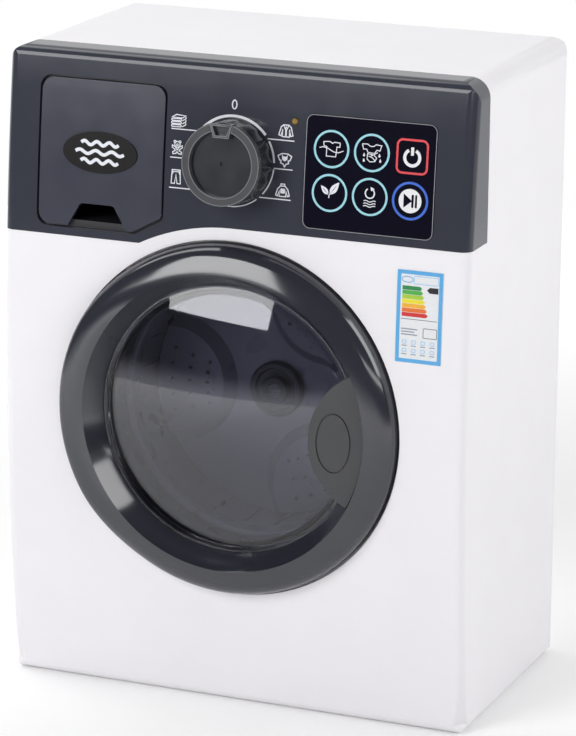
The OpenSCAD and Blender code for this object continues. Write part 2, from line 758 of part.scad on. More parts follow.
module door_liner() color("#34373c") difference() {
    layer(liner_s, door_back_s, [0, door_z]) difference() {
        circle(door_r - door_wall - 0.25);
        circle(window_r - 0.6);
    }
    for (a = [30:60:330]) {
        layer(-form_d, 0, bolt_at(a)) circle(1.4);
        layer(door_back_s - 0.9, 0, bolt_at(a)) circle(2.4);
    }
    layer(-form_d, 0) translate([-door_r - past, door_z - lug_mid - lug_t / 2 - 0.8])
        square([17, 2 * lug_mid + lug_t + 1.6]);
}

module door_screws() color("silver") for (a = [30:60:330])
    back_screw(bolt_at(a)[0], bolt_at(a)[1], door_back_s - 0.9 + touch, 6, 1, 2.2, 0.8);

module door_catch() color("#34373c") {
    layer(door_back_s + touch, seat_s + 6.5) translate([catch_x, door_z - 4]) square([1.8, 8]);
    layer(seat_s + 4.5, seat_s + 6.5) translate([catch_x - 1, door_z - 4]) square([1.8, 8]);
}

// the pull's outline: two arcs that meet in a point above and below
module grip_outline(grow) intersection() {
    translate([0, door_z]) circle(door_r - crease_w - 0.7 + grow);
    translate([door_r - 4, door_z - 1.2]) circle(30.5 + grow);
}

module door_grip() color("#3f4248") difference() {
    intersection() {
        layer(grip_s, dome_s - 0.1) grip_outline(0);
        sunk(0, 20);
    }
    turned([0, door_z]) polygon([[0, 0], [0, -40], [1, -40], [1, dome_s - dome_h - gap],
        [30, dome_s - dome_h - gap + 2.4], [40, dome_s - dome_h - gap + 4.3],
        [window_r + 0.5, dome_s - 0.5], [window_r + 0.5, 0]]);
    intersection() {
        layer(-form_d, 0) difference() {
            grip_oval(0.35);
            grip_oval(-0.35);
        }
        sunk(-past, 0.6);
    }
}

// a slab behind the pull's sloping face, which sinks towards the door's rim
module sunk(lo, hi) translate([38, seam_y + grip_s, door_z]) rotate([0, 0, 7.5]) translate([-5, lo, -40])
    cube([45, hi - lo, 80]);

module grip_oval(grow)
    translate([48.3, door_z - 1.5]) scale([(6.8 + grow) / (12 + grow), 1]) circle(12 + grow);

module hinge_pin() color("silver") translate([hinge_x, seam_y + hinge_s, door_z])
    cylinder(r = pin_r, h = 2 * (knuckle_h + lug_gap + lug_t), center = true);

// ---------- porthole, tub and drum ----------

module porthole_bezel() color("#2c2e33") difference() {
    turned([0, door_z]) polygon([[port_r - 0.1, seat_s + 0.2], [port_r - 0.1, seat_s + wall + touch],
        [port_r + 2.6, seat_s + wall + touch], [port_r + 2.6, seat_s + wall + 1.6],
        [port_r - 0.3, seat_s + wall + 1.6], [drum_r + 4, mouth_s - 1], [drum_r + 2.4, mouth_s - 1],
        [port_r - 1.7, seat_s + 0.2]]);
    for (k = [0:drum_slots - 1]) translate([0, seam_y, door_z]) rotate([0, 360 / drum_slots * k, 0])
        translate([drum_r, mouth_s - 5.5, -3]) cube([10, 2.4, 6]);
}

module tub() color("#55585e") difference() {
    union() {
        turned([0, door_z]) polygon([[tub_r, tub_s], [tub_r + 3, tub_s], [tub_r + 3, tub_s + 2],
            [tub_r + drum_wall, tub_s + 2], [tub_r + drum_wall, tub_end_s], [bush_r + 2, tub_end_s],
            [bush_r + 2, boss_end_s], [bush_r + fit, boss_end_s],
            [bush_r + fit, tub_back_s], [tub_r, tub_back_s]]);
        for (a = [45:90:315]) layer(tub_s, tub_s + 2.5, tub_pillar_at(a)) difference() {
            union() {
                circle(4);
                rotate(a) translate([-6.2, -3]) square([6.2, 6]);
            }
            translate([0, door_z] - tub_pillar_at(a)) circle(tub_r + 1);
        }
        layer(tub_end_s - 0.5, big_s - 0.4, idler_xz) circle(3.5);
        for (p = cover_ears()) layer(tub_end_s - 0.5, tub_end_s + 8, p) circle(3);
    }
    for (a = [45:90:315]) layer(0, 9, tub_pillar_at(a)) circle(1.4);
    layer(tub_back_s + 0.8, big_s, idler_xz) circle(axle_r + fit);
    for (p = cover_ears()) layer(tub_end_s + 1, tub_end_s + 9, p) circle(1.05);
}

module tub_screws() color("silver") for (a = [45:90:315])
    back_screw(tub_pillar_at(a)[0], tub_pillar_at(a)[1], tub_s + 2.5 + touch, 11, 1.05, 2.3, 1.6);

module drum_bush() color("#b08d57") turned([0, door_z]) polygon([
    [drum_shaft_r + run, bush_s], [bush_r + 1.8, bush_s], [bush_r + 1.8, tub_back_s - touch],
    [bush_r, tub_back_s - touch], [bush_r, boss_end_s], [drum_shaft_r + run, boss_end_s]]);

// drum's wall: rolled mouth, a row of slots behind it and lengthwise staves
module drum_shell() color("#5d6066") difference() {
    union() {
        turned([0, door_z]) polygon(concat([[drum_r, mouth_s + 1.5]],
            arc([drum_r + 1.5, mouth_s + 1.5], 1.5, 180, 270, 4),
            arc([drum_r + 3, mouth_s + 1], 1, 270, 360, 3),
            [[drum_r + 4, mouth_s + 2.4], [drum_r + drum_wall, mouth_s + 2.4],
             [drum_r + drum_wall, plate_s + plate_t], [drum_r, plate_s + plate_t]]));
        for (k = [0:drum_slots - 1])
            translate([0, seam_y, door_z]) rotate([0, 360 / drum_slots * (k + 0.5), 0])
                translate([drum_r - 0.7, mouth_s + 9, -0.6]) cube([1.4, drum_d - 10, 1.2]);
    }
    for (k = [0:drum_slots - 1]) translate([0, seam_y, door_z]) rotate([0, 360 / drum_slots * k, 0])
        translate([drum_r - 2, mouth_s + 4.5, -3.4]) cube([8, 1.8, 6.8]);
}

// drum's back: three raised round lobes with rows of holes, and a three-armed hollow between them
module drum_back_plate() color("#565960") difference() {
    union() {
        layer(plate_s, plate_s + plate_t, [0, door_z]) circle(drum_r - touch);
        layer(plate_s + plate_t - 0.2, plate_s + plate_t + 1, [0, door_z]) circle(6.5);
        for (a = [60:120:300]) intersection() {
            layer(plate_s - lobe_h - past, plate_s + 0.5, [0, door_z]) circle(drum_r - 1);
            translate([0, seam_y, door_z]) rotate([0, -a, 0])
                translate([lobe_at, plate_s + 0.5, 0]) rotate([90, 0, 0])
                    cylinder(r1 = lobe_r, r2 = lobe_r - 5, h = lobe_h + 0.5);
        }
    }
    for (a = [60:120:300]) translate([0, seam_y, door_z]) rotate([0, -a, 0])
        translate([lobe_at, plate_s + plate_t + past, 0]) rotate([90, 0, 0]) {
            translate([0, 0, -past]) cylinder(r1 = lobe_r - 2, r2 = lobe_r - 7.4, h = lobe_h + 2 * past);
            lobe_holes();
        }
    layer(plate_s - past, plate_s + plate_t + 2, [0, door_z]) circle(drum_shaft_r + fit);
}

// rows of water holes on arcs about the drum's axis
module lobe_holes() for (row = [0:2], k = [-2:2]) {
    r = lobe_at - 15 + 8 * row;
    a = 8.5 * k;
    translate([r * cos(a) - lobe_at, r * sin(a), 0]) cylinder(r = 0.9, h = 20, $fn = 16);
}

module drum_hub_cap() color("#3a3d43") difference() {
    h = 5;
    turned([0, door_z]) polygon([[1.4, plate_s - touch], [11.6, plate_s - touch], [11.6, plate_s - 2.2],
        [10.8, plate_s - 3], [9.2, plate_s - 3], [8.4, plate_s - 1.6], [5.9, plate_s - 1.6],
        [5.9, plate_s - h + 0.5], [5.4, plate_s - h], [3.4, plate_s - h], [1.4, plate_s - h + 1.9]]);
    layer(plate_s - 3, plate_s, [0, door_z]) circle(drum_shaft_r + fit);
}

module drum_screw() color("silver") turned([0, door_z])
    polygon([[0, plate_s - 5.2], [2.2, plate_s - 4.7], [2.9, plate_s - 4.55], [1.2, plate_s - 3.05],
        [1.2, plate_s + 8], [0, plate_s + 8]]);

module drum_shaft() color("silver") difference() {
    layer(plate_s - 2.8, gear_s + gear_t + 0.3, [0, door_z]) circle(drum_shaft_r);
    layer(plate_s - 3, plate_s + 8.3, [0, door_z]) circle(1.25);
}

// ---------- gears ----------

function involute(rb, r) = let (t = sqrt(max(r * r / (rb * rb) - 1, 0))) t * 180 / PI - atan(t);

// one spur gear: each tooth is root, flank, tip and flank again, from the involute of its base circle
module gear_outline(teeth, phase) {
    pitch = gear_m * teeth / 2;
    rb = pitch * cos(press_angle);
    root = pitch - dedendum * gear_m;
    tip = pitch + addendum * gear_m;
    half = 90 / teeth - backlash / 2 / pitch * 180 / PI / 2 + involute(rb, pitch);
    low = max(rb, root + 0.05);
    radii = [for (i = [0:3]) low + (tip - low) * i / 3];
    polygon([for (k = [0:teeth - 1], p = concat(
        [[root, -half]], [for (r = radii) [r, involute(rb, r) - half]],
        [for (i = [3:-1:0]) [radii[i], half - involute(rb, radii[i])]], [[root, half]]))
        p[0] * [cos(phase + 360 / teeth * k + p[1]), sin(phase + 360 / teeth * k + p[1])]]);
}

module drum_gear() color("white") layer(gear_s, gear_s + gear_t, [0, door_z]) difference() {
    gear_outline(drum_teeth, idler_a);
    circle(drum_shaft_r + fit);
    for (a = [0:60:300]) rotate(a) translate([14.5 * gear_m, 0]) circle(4.4 * gear_m);
}

module idler_gear() color("ivory") {
    layer(gear_s - 0.3, gear_s + gear_t, idler_xz) difference() {
        gear_outline(idler_small_teeth, idler_a + 180 + 180 / idler_small_teeth);
        circle(axle_r + run);
    }
    layer(big_s, big_s + big_t, idler_xz) difference() {
        gear_outline(idler_big_teeth, motor_a);
        circle(axle_r + run);
    }
    layer(big_s + big_t - 0.1, gear_s, idler_xz) difference() {
        circle(gear_m * (idler_small_teeth / 2 - dedendum) - 0.3);
        circle(axle_r + run);
    }
}

module motor_pinion() color("white") layer(big_s - 0.1, big_s + big_t + 0.1, motor_xz) difference() {
    gear_outline(pinion_teeth, motor_a + 180 + 180 / pinion_teeth);
    circle(motor_shaft_r + fit);
}

module motor_shaft() color("silver")
    layer(big_s - 0.1, cover_s + cover_t + 8, motor_xz) circle(motor_shaft_r);

module idler_axle() color("silver") layer(tub_back_s + 0.9, cover_s + cover_t - 0.2, idler_xz) circle(axle_r);

function cover_ears() = [[-25, door_z + 22], [27, door_z + 20], [-19, door_z - 33]];

module gear_casing(grow) {
    translate([0, door_z]) circle(gear_m * (drum_teeth / 2 + addendum) + 2 + grow);
    translate(idler_xz) circle(gear_m * (idler_big_teeth / 2 + addendum) + 2 + grow);
    translate(motor_xz) circle(gear_m * (pinion_teeth / 2 + addendum) + 2.5 + grow);
}

module gearbox_cover() color("#c9cbce") difference() {
    union() {
        layer(tub_end_s + 3.8, cover_s + cover_t) gear_casing(1.6);
        for (p = cover_ears()) layer(tub_end_s + 8 + touch, tub_end_s + 11, p) {
            circle(4);
            rotate(atan2(door_z - p[1], -p[0])) translate([0, -3]) square([14, 6]);
        }
        layer(cover_s, cover_s + cover_t + 9, motor_xz) difference() {
            circle(motor_r + 1.9);
            circle(motor_r + 0.1);
            for (a = [0, 90]) rotate(a) square([3 * motor_r, 7], center = true);
        }
    }
    layer(0, cover_s) gear_casing(0);
    layer(cover_s - past, cover_s + cover_t + past, idler_xz) circle(axle_r + fit);
    layer(cover_s - past, cover_s + cover_t + past, motor_xz) circle(3.1);
    for (p = cover_ears()) layer(0, cab_d, p) circle(1.4);
}

module gearbox_screws() color("silver") for (p = cover_ears())
    back_screw(p[0], p[1], tub_end_s + 11 + touch, 8, 1, 2.4, 1.5);

module motor() color("silver") difference() {
    union() {
        layer(cover_s + 0.2, cover_s + cover_t + 0.3, motor_xz) circle(3);
        layer(cover_s + cover_t + touch, cover_s + cover_t + motor_l, motor_xz) intersection() {
            circle(motor_r);
            square([2 * motor_r, 15.2], center = true);
        }
        layer(cover_s + cover_t + motor_l - 0.2, cover_s + cover_t + motor_l + 1.6, motor_xz) circle(3.4);
        for (x = [-6, 6]) layer(cover_s + cover_t + motor_l - 0.2, cover_s + cover_t + motor_l + 3, motor_xz)
            translate([x - 1.2, -0.3]) square([2.4, 0.6]);
    }
    layer(cover_s, cover_s + cover_t + 8.4, motor_xz) circle(motor_shaft_r + run);
}

// ---------- speaker ----------

module speaker() color("#2b2b2e") turned(speaker_xz) {
    back = cab_d - wall - touch;
    polygon([[0, back - 3], [6, back - 3], [14.5, back - 0.6], [speaker_r - 1.5, back], [speaker_r, back],
        [speaker_r, back - 1.4], [15, back - 2.2], [9, back - 5], [8, back - 5],
        [8, back - 9], [0, back - 9]]);
}

module speaker_clamp() color("silver") difference() {
    s = cab_d - wall - 7 - touch;
    union() {
        layer(s - 1, s, speaker_xz) difference() {
            square([2 * (speaker_r + 8), 7], center = true);
            circle(speaker_r - 1);
        }
        layer(s - 1, s, speaker_xz) difference() {
            circle(speaker_r + 1.5);
            circle(speaker_r - 2);
        }
    }
    for (side = [-1, 1]) layer(0, cab_d, speaker_xz + [side * (speaker_r + 4.5), 0]) circle(1.3);
}

cabinet();
front_shell();
control_panel();
battery_cover();
battery_cover_screw();
battery_cells();
battery_contacts();
shell_screws();
speaker();
speaker_clamp();
porthole_bezel();
tub();
tub_screws();
drum_bush();
gearbox_cover();
gearbox_screws();
motor();
idler_axle();
drawer_sleeve();
circuit_board();
board_screws();
rotary_switch();
click_spring();
indicator_led();
display_plate();
energy_label();
hinge_pin();
door_ring();
door_window();
door_liner();
door_grip();
door_screws();
door_catch();
drum_shell();
drum_back_plate();
drum_hub_cap();
drum_screw();
drum_shaft();
drum_gear();
idler_gear();
motor_pinion();
motor_shaft();
selector_knob();
selector_shaft();
click_wheel();
drawer_front();
drawer_tray();
drawer_badge();
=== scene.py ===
"""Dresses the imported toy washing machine: body shells, control panel, door, drum and drive."""
import json
import sys
from contextlib import contextmanager
from math import acos, asin, atan2, ceil, copysign, cos, degrees, hypot, pi, radians, sin, sqrt

import bmesh
import bpy
from bpy.props import FloatProperty, FloatVectorProperty, IntProperty, PointerProperty
from bpy.types import Operator, Panel, PropertyGroup
from mathutils import Matrix, Vector
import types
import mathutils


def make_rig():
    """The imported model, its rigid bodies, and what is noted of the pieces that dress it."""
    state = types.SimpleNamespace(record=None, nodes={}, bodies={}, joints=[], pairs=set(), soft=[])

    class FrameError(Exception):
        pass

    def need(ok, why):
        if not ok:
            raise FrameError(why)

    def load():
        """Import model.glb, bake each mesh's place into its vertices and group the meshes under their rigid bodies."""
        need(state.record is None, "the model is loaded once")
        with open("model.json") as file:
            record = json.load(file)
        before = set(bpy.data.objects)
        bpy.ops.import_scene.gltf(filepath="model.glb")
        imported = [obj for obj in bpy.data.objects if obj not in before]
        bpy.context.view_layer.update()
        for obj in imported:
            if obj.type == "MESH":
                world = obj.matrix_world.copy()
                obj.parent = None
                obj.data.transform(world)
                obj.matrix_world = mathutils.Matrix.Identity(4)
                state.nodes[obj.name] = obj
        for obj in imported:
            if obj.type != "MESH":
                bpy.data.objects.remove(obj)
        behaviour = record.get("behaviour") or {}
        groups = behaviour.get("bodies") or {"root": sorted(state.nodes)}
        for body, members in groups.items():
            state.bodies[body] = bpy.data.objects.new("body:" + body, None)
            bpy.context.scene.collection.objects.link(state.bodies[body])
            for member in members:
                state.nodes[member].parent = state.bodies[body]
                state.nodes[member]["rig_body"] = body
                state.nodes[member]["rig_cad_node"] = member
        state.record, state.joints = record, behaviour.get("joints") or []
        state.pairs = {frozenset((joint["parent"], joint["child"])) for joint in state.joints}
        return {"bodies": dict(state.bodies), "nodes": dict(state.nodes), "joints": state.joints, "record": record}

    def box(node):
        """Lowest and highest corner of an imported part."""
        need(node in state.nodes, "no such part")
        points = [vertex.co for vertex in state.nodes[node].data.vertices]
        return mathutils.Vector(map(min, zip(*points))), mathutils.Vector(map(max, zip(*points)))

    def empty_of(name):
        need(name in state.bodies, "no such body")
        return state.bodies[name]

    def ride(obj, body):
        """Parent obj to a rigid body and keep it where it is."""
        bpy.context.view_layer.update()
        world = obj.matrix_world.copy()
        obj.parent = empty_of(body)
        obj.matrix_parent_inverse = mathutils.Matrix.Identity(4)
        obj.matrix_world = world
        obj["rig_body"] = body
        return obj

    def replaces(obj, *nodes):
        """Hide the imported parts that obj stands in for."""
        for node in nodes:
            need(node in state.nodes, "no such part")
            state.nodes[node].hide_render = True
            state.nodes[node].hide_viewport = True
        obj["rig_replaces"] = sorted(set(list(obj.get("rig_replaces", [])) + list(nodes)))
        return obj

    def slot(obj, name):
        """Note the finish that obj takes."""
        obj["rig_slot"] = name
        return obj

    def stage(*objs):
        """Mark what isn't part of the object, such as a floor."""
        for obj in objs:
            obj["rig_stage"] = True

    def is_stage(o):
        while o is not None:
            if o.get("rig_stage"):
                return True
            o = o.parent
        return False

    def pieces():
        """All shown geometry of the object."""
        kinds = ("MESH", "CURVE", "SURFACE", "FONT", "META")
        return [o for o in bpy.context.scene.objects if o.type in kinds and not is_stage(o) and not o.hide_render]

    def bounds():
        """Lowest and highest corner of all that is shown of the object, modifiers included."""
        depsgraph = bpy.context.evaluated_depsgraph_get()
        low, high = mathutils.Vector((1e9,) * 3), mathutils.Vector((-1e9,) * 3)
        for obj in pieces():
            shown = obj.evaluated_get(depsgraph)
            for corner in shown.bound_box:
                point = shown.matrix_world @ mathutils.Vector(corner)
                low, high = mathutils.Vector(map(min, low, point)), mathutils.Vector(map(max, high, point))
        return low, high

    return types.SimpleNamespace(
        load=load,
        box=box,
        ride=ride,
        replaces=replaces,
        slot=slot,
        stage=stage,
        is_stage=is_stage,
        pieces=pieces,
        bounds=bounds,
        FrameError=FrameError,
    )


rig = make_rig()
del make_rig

bl_info = {
    "name": "Toy Washing Machine",
    "version": (1, 0, 0),
    "blender": (4, 5, 0),
    "location": "View3D > Sidebar > Washer",
    "description": "Builds the looks of a toy washing machine around its packed frame",
    "category": "Add Mesh",
}

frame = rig.load()
CAD_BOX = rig.bounds()
NODES = frame["nodes"]

MM = 0.001
SEAM_Y = -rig.box("cabinet")[1].y    # behind the panel, as far forward as the back lies behind
# in mm: the bowed face's radius and axis, and the heights of the selector and of the door's axis
BOW_R, BOW_Y, BOW_Z = 1013.362, 942.696, 126.813
DIAL_Z = 226.65
DOOR_Z = 121.7
FACE_LEAN = asin((DIAL_Z - BOW_Z) / BOW_R)      # of the face at the selector


# ---------- sizes and colours that a user would change ----------


def tint(name, thing, rgb):
    return FloatVectorProperty(name=name, description="Colour of the " + thing, subtype="COLOR",
                               size=3, min=0.0, max=1.0, default=rgb)


def length(name, description, default, least, most):
    return FloatProperty(name=name, description=description, unit="LENGTH",
                         default=default, min=least, max=most)


def angle(name, description, degrees):
    return FloatProperty(name=name, description=description, subtype="ANGLE",
                         default=radians(degrees))


def radiance(name, source, default, most=20.0):
    return FloatProperty(name=name, description="Radiance of the " + source, default=default,
                         min=0.0, max=most)


class WasherColours(PropertyGroup):
    shell: tint("Shell", "white body mouldings", (0.86, 0.845, 0.87))
    panel: tint("Panel", "control panel", (0.040, 0.043, 0.058))
    drawer: tint("Drawer", "drawer's front", (0.045, 0.048, 0.067))
    ring: tint("Door ring", "door's glossy ring", (0.024, 0.0255, 0.035))
    knob: tint("Selector", "selector's ribbed body and dish", (0.016, 0.018, 0.023))
    rim: tint("Selector's rim", "lighter rim and pointer of the selector", (0.066, 0.067, 0.072))
    smoke: tint("Window", "door's smoked dome", (0.56, 0.57, 0.68))
    drum: tint("Drum", "drum's mouldings", (0.17, 0.165, 0.20))
    lining: tint("Lining", "dark mouldings round the drum", (0.016, 0.016, 0.021))
    plate: tint("Touch plate", "gloss under the touch symbols", (0.0030, 0.0026, 0.0095))
    print_white: tint("Print", "white print", (0.78, 0.80, 0.85))
    print_aqua: tint("Ring print", "rings round the touch symbols", (0.36, 0.70, 0.78))
    print_red: tint("Power print", "frame round the power symbol", (0.80, 0.085, 0.10))
    print_blue: tint("Start print", "ring round the start symbol", (0.07, 0.17, 0.66))


class WasherSizes(PropertyGroup):
    print_lift: length("Print height", "How far the print stands off its face",
                       0.00006, 0.00002, 0.0002)
    stroke: length("Symbol stroke", "Width of the lines in the dial's symbols",
                   0.00042, 0.0002, 0.001)
    arc_radius: length("Dial arc", "Radius of the arc printed round the selector",
                       0.0178, 0.017, 0.019)
    rounding: length("Edge rounding", "Rounding of the mouldings' cut edges",
                     0.0005, 0.0001, 0.0008)
    turn_steps: IntProperty(name="Turning steps", default=160, min=32, max=192,
                            description="Steps round the turned dome")


class WasherStage(PropertyGroup):
    lens: FloatProperty(name="Lens", default=180.84, min=50.0, max=300.0,
                        description="Focal length in millimetres")
    azimuth: angle("Azimuth", "Turn of the view from the front towards the right", 22.484)
    elevation: angle("Elevation", "Height of the view above level", 15.644)
    roll: angle("Roll", "Roll of the camera", 0.4686)
    distance: length("Distance", "From the camera to the point it looks at", 1.48472, 0.5, 5.0)
    floor: length("Floor", "Radius of the floor", 0.85, 0.3, 3.0)
    room: radiance("Room", "dark screen in front", 0.07, 2.0)
    key: radiance("Key", "softbox at the front left", 6.4)
    side: radiance("Side", "softbox at the right", 4.8)
    strip: radiance("Strip", "low strip light", 4.0)
    left: radiance("Left", "softbox high at the left", 2.6)


def sizes():
    return bpy.context.scene.washer_sizes


# ---------- shader nodes ----------


class Wiring:
    """Adds nodes to a node tree and joins them."""

    def __init__(self, tree, place="Object"):
        self.tree = tree
        self.place = tree.nodes.new("ShaderNodeTexCoord").outputs[place]

    def node(self, kind, inputs=(), **settings):
        made = self.tree.nodes.new("ShaderNode" + kind)
        for key, value in settings.items():
            setattr(made, key, value)
        for key, value in dict(inputs).items():
            self.feed(made.inputs[key], value)
        return made

    def feed(self, socket, value):
        if isinstance(value, bpy.types.NodeSocket):
            self.tree.links.new(value, socket)
        else:
            socket.default_value = value

    def spread(self, value, low, high, start=0.3, end=0.7, **settings):
        """The value's range from start to end, stretched to low to high."""
        made = self.node("MapRange", {"Value": value, "From Min": start, "From Max": end,
                                      "To Min": low, "To Max": high}, **settings)
        return made.outputs["Result"]

    def combine(self, operation, first, second):
        return self.node("Math", {0: first, 1: second}, operation=operation).outputs[0]

    def full_where_seen(self, value):
        """The value, but 1 for the rays by which the eye, gloss and glass see the studio."""
        rays = self.node("LightPath").outputs
        for kind in ("Is Camera Ray", "Is Glossy Ray", "Is Transmission Ray"):
            value = self.combine("MAXIMUM", value, rays[kind])
        return value


class Recipe(Wiring):
    """A material under construction."""

    def __init__(self, name):
        self.material = bpy.data.materials.new(name)
        self.material.use_nodes = True
        super().__init__(self.material.node_tree)
        self.shader = self.tree.nodes["Principled BSDF"]

    def set(self, **values):
        for key, value in values.items():
            self.feed(self.shader.inputs[key.replace("_", " ")], value)

    def noise(self, scale, detail=3.0, roughness=0.5, stretch=None):
        place = self.place
        if stretch:
            place = self.node("Mapping", {"Vector": place, "Scale": stretch}).outputs["Vector"]
        return self.node("TexNoise", {"Vector": place, "Scale": scale, "Detail": detail,
                                      "Roughness": roughness}).outputs["Fac"]

    def between(self, factor, first, second):
        return self.node("Mix", {0: factor, 6: (*first, 1.0), 7: (*second, 1.0)},
                         data_type="RGBA").outputs[2]

    def cloudy(self, noise, first, second):
        """A colour that drifts with the noise."""
        self.set(Base_Color=self.between(self.spread(noise, 0.0, 1.0), first, second))

    def rough(self, noise, low, high):
        self.set(Roughness=self.spread(noise, low, high))

    def bump(self, height, distance, strength):
        made = self.node("Bump", {"Height": height, "Strength": strength, "Distance": distance})
        self.set(Normal=made.outputs["Normal"])


def shade(rgb, by):
    return tuple(min(1.0, c * by) for c in rgb)


def moulded(name, rgb, rough, grain=6e-6, grain_scale=1500.0, variation=0.06, **sockets):
    """Injection-moulded plastic: a faint cloudiness, a fine grain and an uneven gloss."""
    made = Recipe(name)
    made.cloudy(made.noise(28.0, 4.0, 0.6), shade(rgb, 1 - variation), shade(rgb, 1 + variation))
    made.rough(made.noise(90.0), rough * 0.88, rough * 1.12)
    made.bump(made.noise(grain_scale, 2.0), grain, 0.35)
    made.set(**sockets)
    return made.material


def printed(name, rgb, rough=0.38):
    """Pad print: one ink film, a little uneven in density."""
    made = Recipe(name)
    made.cloudy(made.noise(1500.0, 2.0), shade(rgb, 0.93), rgb)
    made.rough(made.noise(400.0), rough * 0.9, rough * 1.1)
    made.bump(made.noise(5200.0), 6e-6, 0.3)
    return made.material


def drawn_metal(name, rgb):
    """Bare or plated metal with fine streaks along its height."""
    made = Recipe(name)
    streak = made.noise(240.0, 3.0, 0.6, stretch=(1.0, 1.0, 30.0))
    made.cloudy(streak, shade(rgb, 0.9), rgb)
    made.rough(streak, 0.21, 0.364)
    made.set(Metallic=1.0)
    made.bump(streak, 10e-6, 0.4)
    return made.material


def smoked_clear(name, rgb):
    """Clear moulding with a smoky tint."""
    made = Recipe(name)
    made.cloudy(made.noise(16.0), shade(rgb, 0.97), rgb)
    made.rough(made.noise(60.0), 0.01, 0.03)
    made.set(Transmission_Weight=1.0, IOR=1.59)
    made.bump(made.noise(30.0, 1.0), 4e-6, 0.1)
    return made.material


def studio_cloth(name, grey, rough, glow, strength):
    """A matt surface of the studio that gives light of its own, without being sampled as a lamp."""
    made = Recipe(name)
    made.set(Base_Color=(grey, grey, grey, 1.0), Roughness=rough, Emission_Color=(*glow, 1.0),
             Emission_Strength=strength(made), Specular_IOR_Level=0.0)
    made.material.cycles.emission_sampling = "NONE"
    return made.material


FINISHES = {}


def make_finishes():
    c = bpy.context.scene.washer_colours
    FINISHES.update(
        # moulded: name, colour, roughness, grain in metres, its scale, share that the colour varies
        shell=moulded("white_shell_plastic", c.shell, 0.33, 18e-6, 2200.0, 0.012,
                      Specular_IOR_Level=0.45),
        panel=moulded("slate_panel_plastic", c.panel, 0.11, 4e-6, 2400.0, 0.02,
                      Specular_IOR_Level=0.45),
        drawer=moulded("slate_drawer_plastic", c.drawer, 0.2, 6e-6, 2400.0, 0.02),
        ring=moulded("glossy_ring_plastic", c.ring, 0.12, 4e-6, 1500.0, 0.06,
                     Specular_IOR_Level=0.8),
        grip=moulded("pull_plastic", (0.046, 0.047, 0.052), 0.30),
        knob=moulded("selector_plastic", c.knob, 0.24),
        rim=moulded("selector_rim_plastic", c.rim, 0.22, variation=0.08),
        # 2.8 times the rim's colour: a painted highlight along the top edges of the rim and pointer
        rim_edge=moulded("selector_worn_edge", shade(c.rim, 2.8), 0.2, variation=0.1),
        lining=moulded("dark_lining_plastic", c.lining, 0.42, 20e-6, 1800.0, 0.08),
        drum=moulded("smoke_drum_plastic", c.drum, 0.30, 10e-6),
        natural=moulded("natural_gear_plastic", (0.80, 0.79, 0.75), 0.38, 10e-6, 1600.0, 0.03),
        plate=moulded("touch_plate_gloss", c.plate, 0.07, 2e-6, 900.0, 0.08),
        badge=moulded("badge_film", (0.006, 0.005, 0.005), 0.4, 6e-6, 3000.0, 0.08,
                      Specular_IOR_Level=0.2),
        amber=moulded("amber_lamp_resin", (0.27, 0.165, 0.03), 0.10, 2e-6, 900.0, 0.06),
        smoke=smoked_clear("smoked_clear_dome", c.smoke),
        steel=drawn_metal("plated_steel", (0.60, 0.60, 0.61)),
        dark_steel=drawn_metal("blackened_steel", (0.13, 0.13, 0.14)),
        brass=drawn_metal("turned_brass", (0.62, 0.44, 0.18)),
        board=moulded("circuit_board_resist", (0.02, 0.13, 0.05), 0.33, 10e-6, 1500.0, 0.08),
        cell=moulded("cell_sleeve_film", (0.035, 0.038, 0.042), 0.24, 4e-6, 1200.0, 0.05),
        cone=moulded("speaker_cone_paper", (0.02, 0.02, 0.021), 0.75, 40e-6, 1400.0, 0.12),
        white=printed("white_pad_print", c.print_white),
        # pale grey line round the touch plate: a painted highlight standing for the light on its bevel
        grey=printed("pale_grey_pad_print", shade(c.print_white, 0.45)),
        aqua=printed("aqua_back_print", c.print_aqua, 0.16),
        red=printed("red_back_print", c.print_red, 0.16),
        blue=printed("blue_back_print", c.print_blue, 0.16),
        pure=printed("white_back_print", (0.86, 0.86, 0.88), 0.16),
        film=printed("label_film", (0.80, 0.82, 0.84), 0.3),
        film_blue=printed("label_border_ink", (0.10, 0.41, 0.77), 0.3),
        film_pale=printed("label_pale_ink", (0.36, 0.60, 0.84), 0.3),
        film_black=printed("label_black_ink", (0.012, 0.012, 0.016), 0.3),
        film_grey=printed("label_grey_ink", (0.30, 0.34, 0.40), 0.3),
    )


# ---------- making shapes ----------


def only(*objects):
    for other in list(bpy.context.selected_objects):
        other.select_set(False)
    for piece in objects:
        piece.select_set(True)
    bpy.context.view_layer.objects.active = objects[0] if objects else None


@contextmanager
def editing(piece, select_mode=None, chosen=None):
    """Edit mode on one piece, with all of it selected, or the faces that pass chosen(face)."""
    only(piece)
    bpy.ops.object.mode_set(mode="EDIT")
    if select_mode:
        bpy.ops.mesh.select_mode(type=select_mode)
    bpy.ops.mesh.select_all(action="DESELECT" if chosen else "SELECT")
    if chosen:
        bpy.ops.object.mode_set(mode="OBJECT")
        for face in piece.data.polygons:
            face.select = chosen(face)
        bpy.ops.object.mode_set(mode="EDIT")
    yield
    bpy.ops.object.mode_set(mode="OBJECT")


def face_y(z, out=0.0):
    """Depth in mm of the bowed face at height z, out mm in front of it."""
    return BOW_Y - sqrt((BOW_R + out) ** 2 - (z - BOW_Z) ** 2)


def give(piece, *finishes):
    materials = piece.data.materials
    materials.clear()
    for name in finishes:
        materials.append(FINISHES[name])


def placed(name, data):
    """A new object for the data, in the scene."""
    made = bpy.data.objects.new(name, data)
    bpy.context.scene.collection.objects.link(made)
    return made


